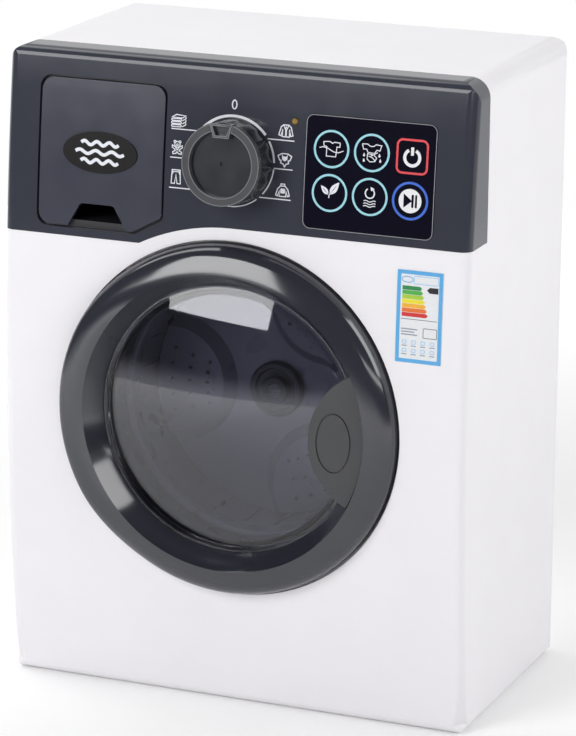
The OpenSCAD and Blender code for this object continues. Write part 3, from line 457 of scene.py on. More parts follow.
def finish(piece, body, finishes, smooth=None, replaces=(), slot=None):
    """Applies the piece's place, shades it, gives it its finishes and fits it to its body."""
    only(piece)
    bpy.ops.object.transform_apply(location=True, rotation=True, scale=True)
    if smooth:
        bpy.ops.object.shade_smooth_by_angle(angle=radians(smooth), keep_sharp_edges=False)
    if len(piece.data.materials) < len(finishes):
        give(piece, *finishes)
    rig.ride(piece, body)
    if replaces:
        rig.replaces(piece, *replaces)
    if slot:
        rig.slot(piece, slot)


def apply_modifiers(piece):
    only(piece)
    for modifier in list(piece.modifiers):
        bpy.ops.object.modifier_apply(modifier=modifier.name)


def merged(node):
    """A copy of a CAD node with its loose triangles joined."""
    piece = placed("dressed_" + node, NODES[node].data.copy())
    with editing(piece):
        bpy.ops.mesh.remove_doubles(threshold=2e-6)
        bpy.ops.mesh.tris_convert_to_quads(face_threshold=radians(1), shape_threshold=radians(40))
    bpy.ops.mesh.customdata_custom_splitnormals_clear()
    piece.data.materials.clear()
    return piece


def stand_for(node, piece, body, finishes, smooth=30.0):
    """The finished piece takes the place of its CAD node."""
    slot = next(p["material_slot"] for p in frame["record"]["subparts"] if p["node"] == node)
    finish(piece, body, finishes, smooth, (node,), slot)
    return piece


def dress(body, finish_name, *nodes, smooth=30.0, even=False):
    """Each named CAD node is stood for by its joined, smoothly shaded copy."""
    for node in nodes:
        piece = stand_for(node, merged(node), body, [finish_name], smooth)
        if even:
            even_normals(piece)


def cleaned(node):
    """A joined copy of a CAD node whose flat faces are whole, ready for its edges to be rounded."""
    piece = merged(node)
    with editing(piece):
        bpy.ops.mesh.dissolve_limited(angle_limit=radians(0.05))
    bpy.ops.object.shade_smooth_by_angle(angle=radians(30), keep_sharp_edges=False)
    return piece


def round_edges(piece, chosen, width, segments=3, sharpest=40.0):
    """Rounds the sharp edges whose two ends both pass the test chosen(x, y, z), in mm."""
    with editing(piece, "EDGE"):
        mesh = bmesh.from_edit_mesh(piece.data)
        weight = mesh.edges.layers.float.new("bevel_weight_edge")
        for edge in mesh.edges:
            sharp = len(edge.link_faces) == 2 and edge.calc_face_angle(0.0) > radians(sharpest)
            ends = sharp and all(chosen(*(v.co / MM)) for v in edge.verts)
            edge[weight] = 1.0 if ends else 0.0
        bmesh.update_edit_mesh(piece.data)
    bevel = piece.modifiers.new("rounding", "BEVEL")
    bevel.width = width
    bevel.segments = segments
    bevel.limit_method = "WEIGHT"
    bevel.harden_normals = True
    bevel.miter_outer = "MITER_ARC"
    return even_normals(piece)


def even_normals(piece):
    """Keeps large faces flat in the light, so that roundings alone take the turn."""
    evened = piece.modifiers.new("even_normals", "WEIGHTED_NORMAL")
    evened.weight = 100
    evened.keep_sharp = True
    apply_modifiers(piece)
    return piece


def on_bow(x, y, z):
    """A test for points that lie on the bowed face."""
    return abs(y - face_y(z)) < 0.12


def dress_rounded(body, finish_name, node, chosen, width=1.0, segments=3):
    """A joined copy with rounded edges; width is a multiple of the general edge rounding."""
    piece = round_edges(cleaned(node), chosen, sizes().rounding * width, segments)
    stand_for(node, piece, body, [finish_name], None)


def coat(finish_name, *nodes):
    """Plain CAD nodes keep their mesh and get a finish."""
    for node in nodes:
        give(NODES[node], finish_name)


def turned(name, profile, centre):
    """A profile of radius and depth turned about a front-to-back axis through centre, all in mm."""
    only()
    bpy.ops.mesh.primitive_plane_add(size=0.001)
    piece = bpy.context.object
    piece.name = name
    with editing(piece):
        bpy.ops.mesh.merge(type="CENTER")
    piece.data.vertices[0].co = (profile[0][0] * MM, profile[0][1] * MM, 0.0)
    with editing(piece, "VERT"):
        for (r0, y0), (r1, y1) in zip(profile, profile[1:]):
            step = ((r1 - r0) * MM, (y1 - y0) * MM, 0.0)
            bpy.ops.mesh.extrude_vertices_move(TRANSFORM_OT_translate={"value": step})
        bpy.ops.mesh.select_all(action="SELECT")
        bpy.ops.mesh.spin(steps=sizes().turn_steps, angle=2 * pi, axis=(0, 1, 0), center=(0, 0, 0))
        bpy.ops.mesh.select_all(action="SELECT")
        bpy.ops.mesh.remove_doubles(threshold=4e-6)
        bpy.ops.mesh.normals_make_consistent(inside=False)
    piece.location = (centre[0] * MM, 0.0, centre[1] * MM)
    return piece


def oval(centre, half_width, half_height, start, end, steps):
    """Points along part of an oval, angles in degrees counted from +X towards +Z."""
    angles = [radians(start + (end - start) * i / steps) for i in range(steps + 1)]
    return [(centre[0] + half_width * cos(a), centre[1] + half_height * sin(a))
            for a in angles]


def arc_points(centre, radius, start, end, steps):
    return oval(centre, radius, radius, start, end, steps)


def circle(centre, radius, steps):
    return arc_points(centre, radius, 0, 360, steps)[:-1]


def rounded_box(x0, z0, x1, z1, r, steps=6):
    corners = ((x0 + r, z0 + r), (x1 - r, z0 + r), (x1 - r, z1 - r), (x0 + r, z1 - r))
    points = []
    for corner, start in zip(corners, (180, 270, 0, 90)):
        points += arc_points(corner, r, start, start + 90, steps)
    return points


def frame_about(x, z, half_width, half_height, r, width):
    """A drawn frame with rounded corners about a centre."""
    corners = (x - half_width, z - half_height, x + half_width, z + half_height)
    return line(rounded_box(*corners, r), width, True)


def offset_line(points, by, closed):
    """The points moved sideways by a distance, with mitred corners."""
    count = len(points)
    beside = []
    for i, point in enumerate(points):
        sides = []
        for a, b in ((i - 1, i), (i, (i + 1) % count)):
            if closed or 0 <= a < b:
                run = Vector((points[b][0] - points[a][0], points[b][1] - points[a][1]))
                sides.append(Vector((-run.y, run.x)).normalized())
        side = sum(sides, Vector((0, 0))).normalized()
        reach = by / max(0.5, side.dot(sides[0]))
        beside.append((point[0] + side.x * reach, point[1] + side.y * reach))
    return beside


def line(points, width, closed=False):
    """The outlines of a drawn line: two rings for a closed one, one for an open one."""
    left = offset_line(points, width / 2, closed)
    right = offset_line(points, -width / 2, closed)
    return [left, right] if closed else [left + right[::-1]]


def mirrored(points):
    return [(-x, z) for x, z in points]


def moved(shapes, x, z, grow=1.0):
    """Every outline of every shape, scaled and then moved."""
    return [[[(x + p[0] * grow, z + p[1] * grow) for p in ring] for ring in outlines]
            for outlines in shapes]


def divided(ring, longest=1.5):
    """The outline with its long sides divided, so that it can follow the bowed face."""
    points = []
    for a, b in zip(ring, ring[1:] + ring[:1]):
        parts = max(1, ceil(abs(b[1] - a[1]) / longest))
        points += [(a[0] + (b[0] - a[0]) * i / parts, a[1] + (b[1] - a[1]) * i / parts)
                   for i in range(parts)]
    return points


def flat_shape(name, outlines):
    """Filled outlines, drawn as a flat curve and made a mesh in the X-Z plane, in mm."""
    curve = bpy.data.curves.new(name, "CURVE")
    curve.dimensions = "2D"
    curve.fill_mode = "BOTH"
    for ring in map(divided, outlines):
        spline = curve.splines.new("POLY")
        spline.points.add(len(ring) - 1)
        for point, (x, z) in zip(spline.points, ring):
            point.co = (x, z, 0.0, 1.0)
        spline.use_cyclic_u = True
    only(placed(name, curve))
    bpy.ops.object.convert(target="MESH")
    return bpy.context.object


def print_on_face(name, groups, body="housing", out=0.0, thick=0.04, slot=None, lift=None):
    """Print on a face out mm before the bow: groups of (finish, shapes), in X and Z in mm."""
    lift = sizes().print_lift / MM if lift is None else lift
    parts = []
    for index, (finish_name, shapes) in enumerate(groups):
        for number, outlines in enumerate(shapes):
            part = flat_shape(f"{name}_{index}_{number}", outlines)
            give(part, finish_name)
            parts.append(part)
    only(*parts)
    if len(parts) > 1:
        bpy.ops.object.join()
    piece = bpy.context.view_layer.objects.active
    piece.name = name
    for vertex in piece.data.vertices:
        x, z = vertex.co.x, vertex.co.y
        vertex.co = (x * MM, face_y(z, out + lift) * MM, z * MM)
    with editing(piece):
        bpy.ops.mesh.remove_doubles(threshold=2e-6)
        bpy.ops.mesh.normals_make_consistent(inside=False)
    if sum(p.normal.y * p.area for p in piece.data.polygons) > 0:
        with editing(piece):
            bpy.ops.mesh.flip_normals()
    solid = piece.modifiers.new("film", "SOLIDIFY")
    solid.thickness = thick * MM
    solid.offset = -1.0
    apply_modifiers(piece)
    finish(piece, body, [group[0] for group in groups], slot=slot)


# ---------- symbols, each drawn about its own centre, in mm ----------


def towel_stack(w):
    shapes = [line([(-2.9, 1.25), (-1.0, 2.35), (3.1, 2.05), (1.5, 1.1)], w, True)]
    for k in range(3):
        z = 0.75 - 1.2 * k
        shapes.append(line(rounded_box(-3.0, z - 0.8, 1.2, z, 0.38, 3), w * 0.9, True))
        shapes.append(line([(1.6, z - 0.7), (3.1, z + 0.2), (3.1, z + 0.9)], w * 0.9))
    return shapes


def soft_toy(w):
    shapes = [line(circle((0, 1.3), 1.15, 20), w, True),
              line(circle((0, 1.1), 0.38, 12), w * 0.8, True)]
    arm = [(0.9, 0.35), (2.1, 0.9), (2.2, 0.1), (0.8, -0.9)]
    leg = [(0.6, -1.1), (1.9, -1.7), (1.8, -2.5), (0.5, -2.3), (0, -1.5)]
    for side in (-1, 1):
        shapes.append(line(circle((side * 1.05, 2.35), 0.42, 12), w, True))
        shapes += [line([(side * x, z) for x, z in limb], w) for limb in (arm, leg)]
    shapes.append(line([(-0.9, 0.3), (0, -0.9), (0.9, 0.3)], w))
    return shapes


def trousers(w):
    return [line([(-1.7, 2.7), (1.7, 2.7), (2.0, -2.7), (0.55, -2.7), (0.0, 0.9), (-0.55, -2.7),
                  (-2.0, -2.7)], w, True),
            line([(-1.7, 2.0), (1.7, 2.0)], w * 0.9),
            line([(-1.2, 2.0), (-1.5, 1.0)], w * 0.8),
            line([(1.2, 2.0), (1.5, 1.0)], w * 0.8)]


def jacket(w):
    sleeve = [(-1.1, 2.3), (-2.1, 1.5), (-3.0, -1.7), (-2.1, -2.0), (-1.4, 0.2)]
    return [line(sleeve, w), line(mirrored(sleeve), w),
            line([(-1.5, 0.6), (-1.5, -2.3), (1.5, -2.3), (1.5, 0.6)], w),
            line([(-1.1, 2.3), (1.1, 2.3), (0.35, 0.6), (0, 1.6), (-0.35, 0.6)], w, True),
            line([(0, 0.6), (0, -2.0)], w * 1.6)]


def blouse(w):
    return [line([(-1.2, 2.4), (1.2, 2.4), (2.9, 1.5), (2.2, -0.2), (1.5, -0.3), (1.7, -1.3),
                  (0.7, -1.6), (0, -2.7), (-0.7, -1.6), (-1.7, -1.3), (-1.5, -0.3), (-2.2, -0.2),
                  (-2.9, 1.5)], w, True),
            [[(-1.2, 2.0), (-0.6, 1.3), (0.6, 1.3), (1.2, 2.0), (1.1, 0.2), (0.3, -0.5),
              (-0.3, -0.5), (-1.1, 0.2)]]]


def sweater(w):
    return [line([(-0.8, 1.8), (-0.8, 2.5), (0.8, 2.5), (0.8, 1.8)], w),
            line([(-1.0, 1.7), (1.0, 1.7), (2.2, 0.4), (2.9, -2.0), (2.1, -2.3), (1.4, -0.2),
                  (1.4, -2.4), (-1.4, -2.4), (-1.4, -0.2), (-2.1, -2.3), (-2.9, -2.0),
                  (-2.2, 0.4)], w, True),
            [rounded_box(-1.0, -1.2, 1.0, 0.7, 0.4, 3)]]


def shirt_in_water(w):
    return [line([(-1.5, 2.6), (-0.5, 2.6), (0.2, 2.0), (1.0, 2.5), (3.2, 2.4), (3.1, 0.9),
                  (2.0, 0.9), (1.7, -2.6), (-1.9, -2.6), (-1.8, 0.8), (-2.9, 1.0),
                  (-3.1, 2.4)], w, True),
            line([(-4.6, 0.2), (-3.2, 0.6), (-1.4, 0.2), (0.8, -0.9), (2.6, -1.1), (4.6, -0.3)], w)]


def wrung_shirt(w):
    shapes = [line([(-3.7, 2.9), (-1.7, 3.0), (-0.8, 2.3), (0.6, 2.3), (1.5, 3.0), (3.6, 2.8),
                    (3.0, 0.9), (1.9, 1.1), (0.9, -0.1), (-1.5, 0.1), (-2.0, 1.2),
                    (-3.2, 1.1)], w, True),
              line([(-1.6, -0.4), (0.6, -0.6), (1.9, -1.6), (1.3, -2.9), (-0.6, -3.2),
                    (-1.7, -2.2)], w, True),
              line([(-1.2, -1.2), (0.2, -1.6), (1.3, -2.6)], w),
              line([(2.2, 0.3), (0.9, -0.5), (-0.4, -1.1)], w)]
    for x, z in ((-2.9, -0.9), (-2.9, -2.8), (2.9, -0.8), (3.3, -2.6)):
        shapes.append([[(x, z + 0.8)] + arc_points((x, z - 0.15), 0.4, 20, -200, 10)])
    return shapes


def leaf(root, tip, bulge):
    """A leaf from root to tip, with its vein left open."""
    along = Vector((tip[0] - root[0], tip[1] - root[1]))
    side = Vector((-along.y, along.x)).normalized()

    def edge(by, first, last, steps):
        span = [first + (last - first) * i / steps for i in range(steps + 1)]
        bends = [(t, by * sin(pi * t ** 0.8)) for t in span]
        return [(root[0] + along.x * t + side.x * bend, root[1] + along.y * t + side.y * bend)
                for t, bend in bends]

    return [edge(bulge, 0.0, 1.0, 12) + edge(-bulge, 1.0, 0.0, 12)[1:-1],
            edge(0.12, 0.06, 0.72, 8) + edge(-0.12, 0.72, 0.06, 8)]


def leaf_pair(w):
    return [leaf((0.2, -0.5), (3.9, 4.5), 1.35), leaf((-0.5, -0.6), (-3.7, 2.7), 1.05),
            line([(0.3, -0.2), (-0.15, -0.9), (-0.2, -2.0)], w * 1.1)]


def round_and_waves(w):
    shapes = [line(arc_points((0, 1.4), 1.9, 60, -240, 24), w * 1.5),
              [[(0.2, 4.0), (1.9, 3.3), (0.5, 2.3)]]]
    for k in range(3):
        z = -1.7 - 1.0 * k
        shapes.append(line([(-2.5 + 0.5 * i, z + 0.28 * sin(i * 0.9)) for i in range(11)], w))
    return shapes


def power_mark():
    return [line(arc_points((0, -0.4), 3.1, 62, -242, 32), 1.25), line([(0, 3.6), (0, 0.4)], 1.2)]


def start_mark():
    return [[[(-2.2, 2.3), (-2.2, -2.3), (0.7, 0.0)]],
            [rounded_box(0.5, -2.1, 1.25, 2.1, 0.2, 2)],
            [rounded_box(1.75, -2.1, 2.4, 2.1, 0.2, 2)]]


# ---------- operators: one for each piece or group of like pieces ----------


class WASHER_OT_shells(Operator):
    """White cabinet and front, and the back's cover and screws"""
    bl_idname = "washer.shells"
    bl_label = "Body shells"

    def execute(self, context):
        dress("housing", "shell", "cabinet", "battery_cover", even=True)
        dress_rounded("housing", "shell", "front_shell", on_bow)
        coat("steel", "battery_cover_screw", "shell_screws")
        return {"FINISHED"}


class WASHER_OT_panel(Operator):
    """Slate control panel"""
    bl_idname = "washer.panel"
    bl_label = "Control panel"

    def execute(self, context):
        dress_rounded("housing", "panel", "control_panel", on_bow)
        return {"FINISHED"}


class WASHER_OT_dial_print(Operator):
    """Printed arc, lines and symbols round the selector"""
    bl_idname = "washer.dial_print"
    bl_label = "Dial print"

    MARKS = (
        # the underline's height and outer end, the symbol and its centre
        (236.8, 25.4, jacket, (21.7, 240.5)),
        (225.5, 25.2, blouse, (21.7, 229.2)),
        (213.6, 24.9, sweater, (21.4, 217.2)),
        (237.3, -27.2, towel_stack, (-24.2, 240.6)),
        (226.0, -27.2, soft_toy, (-24.3, 229.9)),
        (214.0, -27.2, trousers, (-24.4, 218.4)),
    )
    ARC_X = -0.5          # the arcs' centre lies a little beside the selector's axis
    # each arc's start and end in degrees and its line's width in mm
    TOP_ARC = (146, 40, 1.05)
    SIDE_ARCS = ((31, 3, 0.8), (-5, -41, 0.55), (-52, -89.5, 0.42))
    UNDERLINE = 0.42
    ZERO = (-0.6, 248.9)

    def execute(self, context):
        s = sizes()
        r = s.arc_radius / MM
        first, last, width = self.TOP_ARC
        shapes = [line(arc_points((self.ARC_X, DIAL_Z), r, first, last, 36), width)]
        for side in (1, -1):
            for first, last, width in self.SIDE_ARCS:
                arc = arc_points((side * self.ARC_X, DIAL_Z), r, first, last, 16)
                shapes.append(line(arc if side > 0 else mirrored(arc), width))
        for z, end, symbol, centre in self.MARKS:
            reach = copysign(sqrt(max(0.0, r * r - (z - DIAL_Z) ** 2)), end)
            shapes.append(line([(self.ARC_X + reach, z), (end, z)], self.UNDERLINE))
            shapes += moved(symbol(s.stroke / MM), *centre)
        shapes.append(line(oval(self.ZERO, 0.95, 1.7, 0, 360, 24)[:-1], 0.5, True))
        print_on_face("dial_print", [("white", shapes)])
        return {"FINISHED"}


class WASHER_OT_selector(Operator):
    """Ribbed selector with a dished face and a pointer frame"""
    bl_idname = "washer.selector"
    bl_label = "Selector"

    # heights over the panel's face and radii, in mm
    RIBS_FOOT = 5.0
    DISH_FLOOR, GROOVE, RIM_FOOT, RIM_TOP = 10.75, 12.9, 11.2, 13.2
    ROUNDING, BORDER = 0.0004, 0.00035      # of the edges, and the band of painted highlight within them, in m

    def execute(self, context):
        axis = Vector((0.0, -cos(FACE_LEAN), sin(FACE_LEAN)))
        foot = Vector((0.0, face_y(DIAL_Z), DIAL_Z))

        def height(point):
            return (Vector(point) - foot).dot(axis)

        def on_top(face):
            return height(face.center / MM) > self.RIM_TOP and face.normal.dot(axis) > 0.97

        knob = round_edges(cleaned("selector_knob"), lambda *p: height(p) > self.RIBS_FOOT,
                           self.ROUNDING, sharpest=35.0)
        # a narrow band inset within the top faces' edges, which takes the painted highlight
        with editing(knob, "FACE", on_top):
            bpy.ops.mesh.inset(thickness=self.BORDER)
        finishes = ["knob", "rim", "rim_edge"]
        give(knob, *finishes)
        for face in knob.data.polygons:
            h = height(face.center / MM)
            r = (face.center / MM - foot - axis * h).length
            on_rim = h > self.DISH_FLOOR and (r > self.GROOVE or h > self.RIM_FOOT)
            border = on_top(face) and not face.select
            face.material_index = 2 if border else 1 if on_rim else 0
        stand_for("selector_knob", knob, "selector", finishes, None)
        coat("lining", "selector_shaft")
        coat("natural", "click_wheel")
        return {"FINISHED"}


class WASHER_OT_lamp(Operator):
    """Amber indicator lamp"""
    bl_idname = "washer.lamp"
    bl_label = "Lamp"

    def execute(self, context):
        dress("housing", "amber", "indicator_led", smooth=40.0)
        return {"FINISHED"}


class WASHER_OT_touch_plate(Operator):
    """Glossy plate, the touch symbols printed behind it, and a painted highlight round its edge"""
    bl_idname = "washer.touch_plate"
    bl_label = "Touch plate"

    # in mm: the plate's centre and how far it stands off the face, then the symbols' places
    CENTRE, OUT = (57.4, 225.75), 0.25
    LEFT, MIDDLE, RIGHT = 41.2, 58.0, 74.7
    UPPER, LOWER = 235.2, 218.1
    RING_R, DISC_R = 7.0, 4.7
    STROKE = 0.34

    def execute(self, context):
        dress("housing", "plate", "display_plate")
        rings, white = [], []
        for x, z, symbol, grow in ((self.LEFT, self.UPPER, shirt_in_water, 1.1),
                                   (self.MIDDLE, self.UPPER, wrung_shirt, 1.1),
                                   (self.LEFT, self.LOWER, leaf_pair, 1.0),
                                   (self.MIDDLE, self.LOWER, round_and_waves, 1.0)):
            rings.append(line(circle((x, z), self.RING_R, 64), 0.85, True))
            white += moved(symbol(self.STROKE / grow), x, z, grow)
        power = (self.RIGHT, self.UPPER)
        start = (self.RIGHT, self.LOWER)
        groups = [
            ("aqua", rings),
            ("white", white),
            ("red", [frame_about(*power, 6.2, 6.4, 2.1, 0.85)]),
            ("pure", moved(power_mark(), *power) + [[circle(start, self.DISC_R, 48)]]),
            ("blue", [line(circle(start, self.RING_R, 64), 0.95, True)]),
        ]
        print_on_face("touch_symbols", groups, out=self.OUT)
        print_on_face("start_symbol", [("plate", moved(start_mark(), *start, 1.2))],
                      out=self.OUT, lift=sizes().print_lift / MM + 0.05)
        # a pale grey line round the plate's edge: painted highlight in place of the light on its bevel
        edge = frame_about(*self.CENTRE, 26.95, 22.2, 2.9, 0.22)
        print_on_face("touch_plate_edge", [("grey", [edge])], out=self.OUT)
        return {"FINISHED"}


class WASHER_OT_drawer(Operator):
    """Detergent drawer's front, tray and sleeve"""
    bl_idname = "washer.drawer"
    bl_label = "Drawer"

    def execute(self, context):
        dress_rounded("drawer", "drawer", "drawer_front", on_bow, 1.6, 4)
        dress("drawer", "panel", "drawer_tray")
        dress("housing", "lining", "drawer_sleeve")
        return {"FINISHED"}


class WASHER_OT_badge(Operator):
    """Oval badge with a plain wave motif"""
    bl_idname = "washer.badge"
    bl_label = "Badge"

    X, OUT, SWING, STROKE = -57.7, 0.6, 0.75, 1.35      # in mm

    def execute(self, context):
        dress("drawer", "badge", "drawer_badge")
        waves = []
        for z, half in ((228.6, 8.2), (225.0, 10.6), (221.4, 8.2)):
            wave = [(self.X + half * (i / 16 - 1), z + self.SWING * sin(i * pi / 5.333))
                    for i in range(33)]
            waves.append(line(wave, self.STROKE))
        print_on_face("badge_waves", [("white", waves)], body="drawer", out=self.OUT)
        return {"FINISHED"}


class WASHER_OT_label(Operator):
    """Rating label with plain bars and lines"""
    bl_idname = "washer.label"
    bl_label = "Rating label"

    EDGES = (70.9, 89.9, 154.6, 191.3)      # left, right, bottom and top, in mm
    RAMP = ((0.02, 0.25, 0.07), (0.08, 0.42, 0.06), (0.40, 0.62, 0.04), (0.85, 0.75, 0.03),
            (0.90, 0.45, 0.03), (0.80, 0.17, 0.03), (0.65, 0.03, 0.03))

    def execute(self, context):
        dress("housing", "film", "energy_label")
        x0, x1, z0, z1 = self.EDGES
        border = [[rounded_box(x0 + by, z0 + by, x1 - by, z1 - by, 0.3, 2) for by in (0.05, 1.6)],
                  line(oval((x0 + 4.3, z1 - 3.7), 2.3, 1.15, 0, 360, 20)[:-1], 0.3, True)]
        pale = [line(rounded_box(x0 + 7.0, z1 - 5.2, x1 - 2.0, z1 - 2.2, 0.5, 3), 0.3, True)]
        arrow_z = z1 - 7.3
        black = [[[(x1 - 6.6, arrow_z), (x1 - 5.4, arrow_z + 1.15), (x1 - 1.9, arrow_z + 1.15),
                   (x1 - 1.9, arrow_z - 1.15), (x1 - 5.4, arrow_z - 1.15)]],
                 line(rounded_box(x1 - 7.6, z0 + 10.4, x1 - 2.0, z0 + 14.2, 0.3, 2), 0.22, True),
                 [rounded_box(x0 + 2.0, z0 + 17.3, x1 - 2.0, z0 + 17.5, 0.08, 1)]]
        grey = [[rounded_box(x0 + 2.2, z0 + 11.0 + 1.1 * k, x0 + 9.0 - 1.3 * (k % 2),
                             z0 + 11.5 + 1.1 * k, 0.1, 1)] for k in range(3)]
        for column in range(4):
            for row in range(2):
                x = x0 + 3.7 + 3.85 * column
                z = z0 + 8.2 - 3.4 * row
                mark = rounded_box(x - 0.75, z - 0.6, x + 0.75, z + 0.75, 0.35, 3)
                pale.append(line(mark, 0.32, True))
                grey.append([rounded_box(x - 1.1, z - 1.6, x + 1.1, z - 1.2, 0.1, 1)])
        groups = [("film_blue", border), ("film_pale", pale)]
        for k, rgb in enumerate(self.RAMP):
            FINISHES[f"bar_{k}"] = printed(f"label_bar_ink_{k}", rgb, 0.3)
            left, z = x0 + 2.3, z1 - 6.2 - 1.75 * k
            tip = left + 8.1 + 0.45 * k
            bar = [(left, z), (left, z - 1.6), (tip - 0.8, z - 1.6), (tip, z - 0.8), (tip - 0.8, z)]
            groups.append((f"bar_{k}", [[bar]]))
        groups += [("film_black", black), ("film_grey", grey)]
        print_on_face("label_print", groups, out=0.3, lift=0.04, thick=0.03, slot="label_print")
        return {"FINISHED"}


class WASHER_OT_door_ring(Operator):
    """Glossy ring of the door"""
    bl_idname = "washer.door_ring"
    bl_label = "Door ring"

    # the section of the frame's ring: radii in mm, and the turn at which they meet
    CROWN_R, SHOULDER_R, TURN = 18.0, 3.2, radians(72.0)
    # the fuller section: how far in its face and its rounding reach, in mm, and its tilts there
    FIELD, OUTER, LOW, HIGH = 11.5, 5.0, radians(10.0), radians(20.0)
    FACE_DEPTH = 3.95                   # in mm; what lies deeper stays where it is
    HINGE_KEEP, HINGE_BLEND = 28.0, 34.0    # degrees from the hinge without change, then blended

    def frame_depth(self, inset):
        """How far the frame's face lies behind its foremost line, inset mm in from the outside."""
        small, big = self.SHOULDER_R, self.CROWN_R
        drop = big - (big - small) * sin(self.TURN)
        middle = small + (big - small) * cos(self.TURN)
        if inset < small * (1 - cos(self.TURN)):
            return drop - small * sin(acos(min(1.0, 1 - inset / small)))
        return big - sqrt(big * big - (middle - inset) ** 2)

    def full_depth(self, inset):
        """The same for a face that rises steadily to the crease and rounds off outwards."""
        low, high = self.LOW, self.HIGH
        field = (self.FIELD - self.OUTER) / (sin(high) - sin(low))
        edge = self.OUTER / (1 - sin(high))
        if inset > self.OUTER:
            tilt = asin(sin(low) + (self.FIELD - inset) / field)
            return field * (cos(low) - cos(tilt))
        tilt = asin(min(1.0, sin(high) + (self.OUTER - inset) / edge))
        return field * (cos(low) - cos(high)) + edge * (cos(high) - cos(tilt))

    def execute(self, context):
        ring = merged("door_ring")
        low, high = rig.box("door_ring")
        foremost, radius = low.y / MM, (high.z - low.z) / 2 / MM
        for vertex in ring.data.vertices:
            x, y, z = vertex.co / MM
            inset = radius - hypot(x, z - DOOR_Z)
            depth = y - foremost
            if -0.01 < inset < self.FIELD + 0.05 and depth < self.FACE_DEPTH:
                inset = max(0.0, min(self.FIELD, inset))
                from_hinge = abs(degrees(atan2(z - DOOR_Z, -x)))
                share = min(1.0, max(0.0, (from_hinge - self.HINGE_KEEP) / self.HINGE_BLEND))
                share = share * share * (3 - 2 * share)
                depth += share * (self.full_depth(inset) - self.frame_depth(inset))
                vertex.co.y = (foremost + depth) * MM
        stand_for("door_ring", ring, "door", ["ring"])
        return {"FINISHED"}


class WASHER_OT_window(Operator):
    """Smoked dome with its flange"""
    bl_idname = "washer.window"
    bl_label = "Window"

    RISE, WALL, FLANGE = 8.0, 1.6, 4.4      # of the dome, in mm

    def execute(self, context):
        low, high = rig.box("door_window")
        flange_r = (high.x - low.x) / 2 / MM
        front_y, back_y = low.y / MM, high.y / MM
        rise, wall, mouth = self.RISE, self.WALL, flange_r - self.FLANGE
        ball = (mouth * mouth + rise * rise) / (2 * rise)
        turns = [asin(mouth / ball) * i / 28 for i in range(29)]
        front = [(ball * sin(a), front_y + ball - ball * cos(a)) for a in turns]
        shrink = (ball - wall) / ball
        behind = [(r * shrink, front_y + ball - (front_y + ball - y) * shrink) for r, y in front]
        flange_y = front[-1][1] + 0.4
        profile = front + [(mouth + 0.1, flange_y), (flange_r, flange_y), (flange_r, back_y),
                           (mouth - 1.4, back_y)] + behind[-2::-1]
        dome = turned("dome", profile, (0.0, DOOR_Z))
        stand_for("door_window", dome, "door", ["smoke"], 34.0)
        return {"FINISHED"}


class WASHER_OT_grip(Operator):
    """Leaf-shaped pull let into the ring"""
    bl_idname = "washer.grip"
    bl_label = "Pull"

    FACE_Y = -78.0      # what lies in front of this depth, in mm, is rounded

    def execute(self, context):
        dress_rounded("door", "grip", "door_grip", lambda x, y, z: y < self.FACE_Y, 1.2)
        return {"FINISHED"}


class WASHER_OT_door_back(Operator):
    """Liner, catch, hinge pin and screws of the door"""
    bl_idname = "washer.door_back"
    bl_label = "Door's back"

    def execute(self, context):
        dress("door", "lining", "door_liner", "door_catch")
        coat("steel", "door_screws", "hinge_pin")
        return {"FINISHED"}


class WASHER_OT_porthole(Operator):
    """Dark surround of the drum's mouth"""
    bl_idname = "washer.porthole"
    bl_label = "Porthole"

    def execute(self, context):
        dress("housing", "lining", "porthole_bezel")
        return {"FINISHED"}


class WASHER_OT_drum(Operator):
    """Drum with its slots, staves and lobes"""
    bl_idname = "washer.drum"
    bl_label = "Drum"

    def execute(self, context):
        dress("drum", "drum", "drum_shell", "drum_back_plate")
        dress("drum", "lining", "drum_hub_cap", "drum_gear")
        coat("dark_steel", "drum_screw")
        coat("steel", "drum_shaft")
        return {"FINISHED"}


class WASHER_OT_drive(Operator):
    """Tub, gears and motor"""
    bl_idname = "washer.drive"
    bl_label = "Drive"

    def execute(self, context):
        dress("housing", "lining", "tub")
        dress("housing", "natural", "gearbox_cover")
        dress("idler", "natural", "idler_gear")
        dress("rotor", "natural", "motor_pinion")
        dress("housing", "steel", "motor")
        coat("steel", "tub_screws", "gearbox_screws", "idler_axle", "motor_shaft")
        coat("brass", "drum_bush")
        return {"FINISHED"}


class WASHER_OT_electrics(Operator):
    """Board, switch, speaker, cells and contacts"""
    bl_idname = "washer.electrics"
    bl_label = "Electrics"

    def execute(self, context):
        dress("housing", "board", "circuit_board")
        dress("housing", "lining", "rotary_switch")
        dress("housing", "cell", "battery_cells")
        dress("housing", "cone", "speaker")
        coat("steel", "board_screws", "click_spring", "battery_contacts", "speaker_clamp")
        return {"FINISHED"}


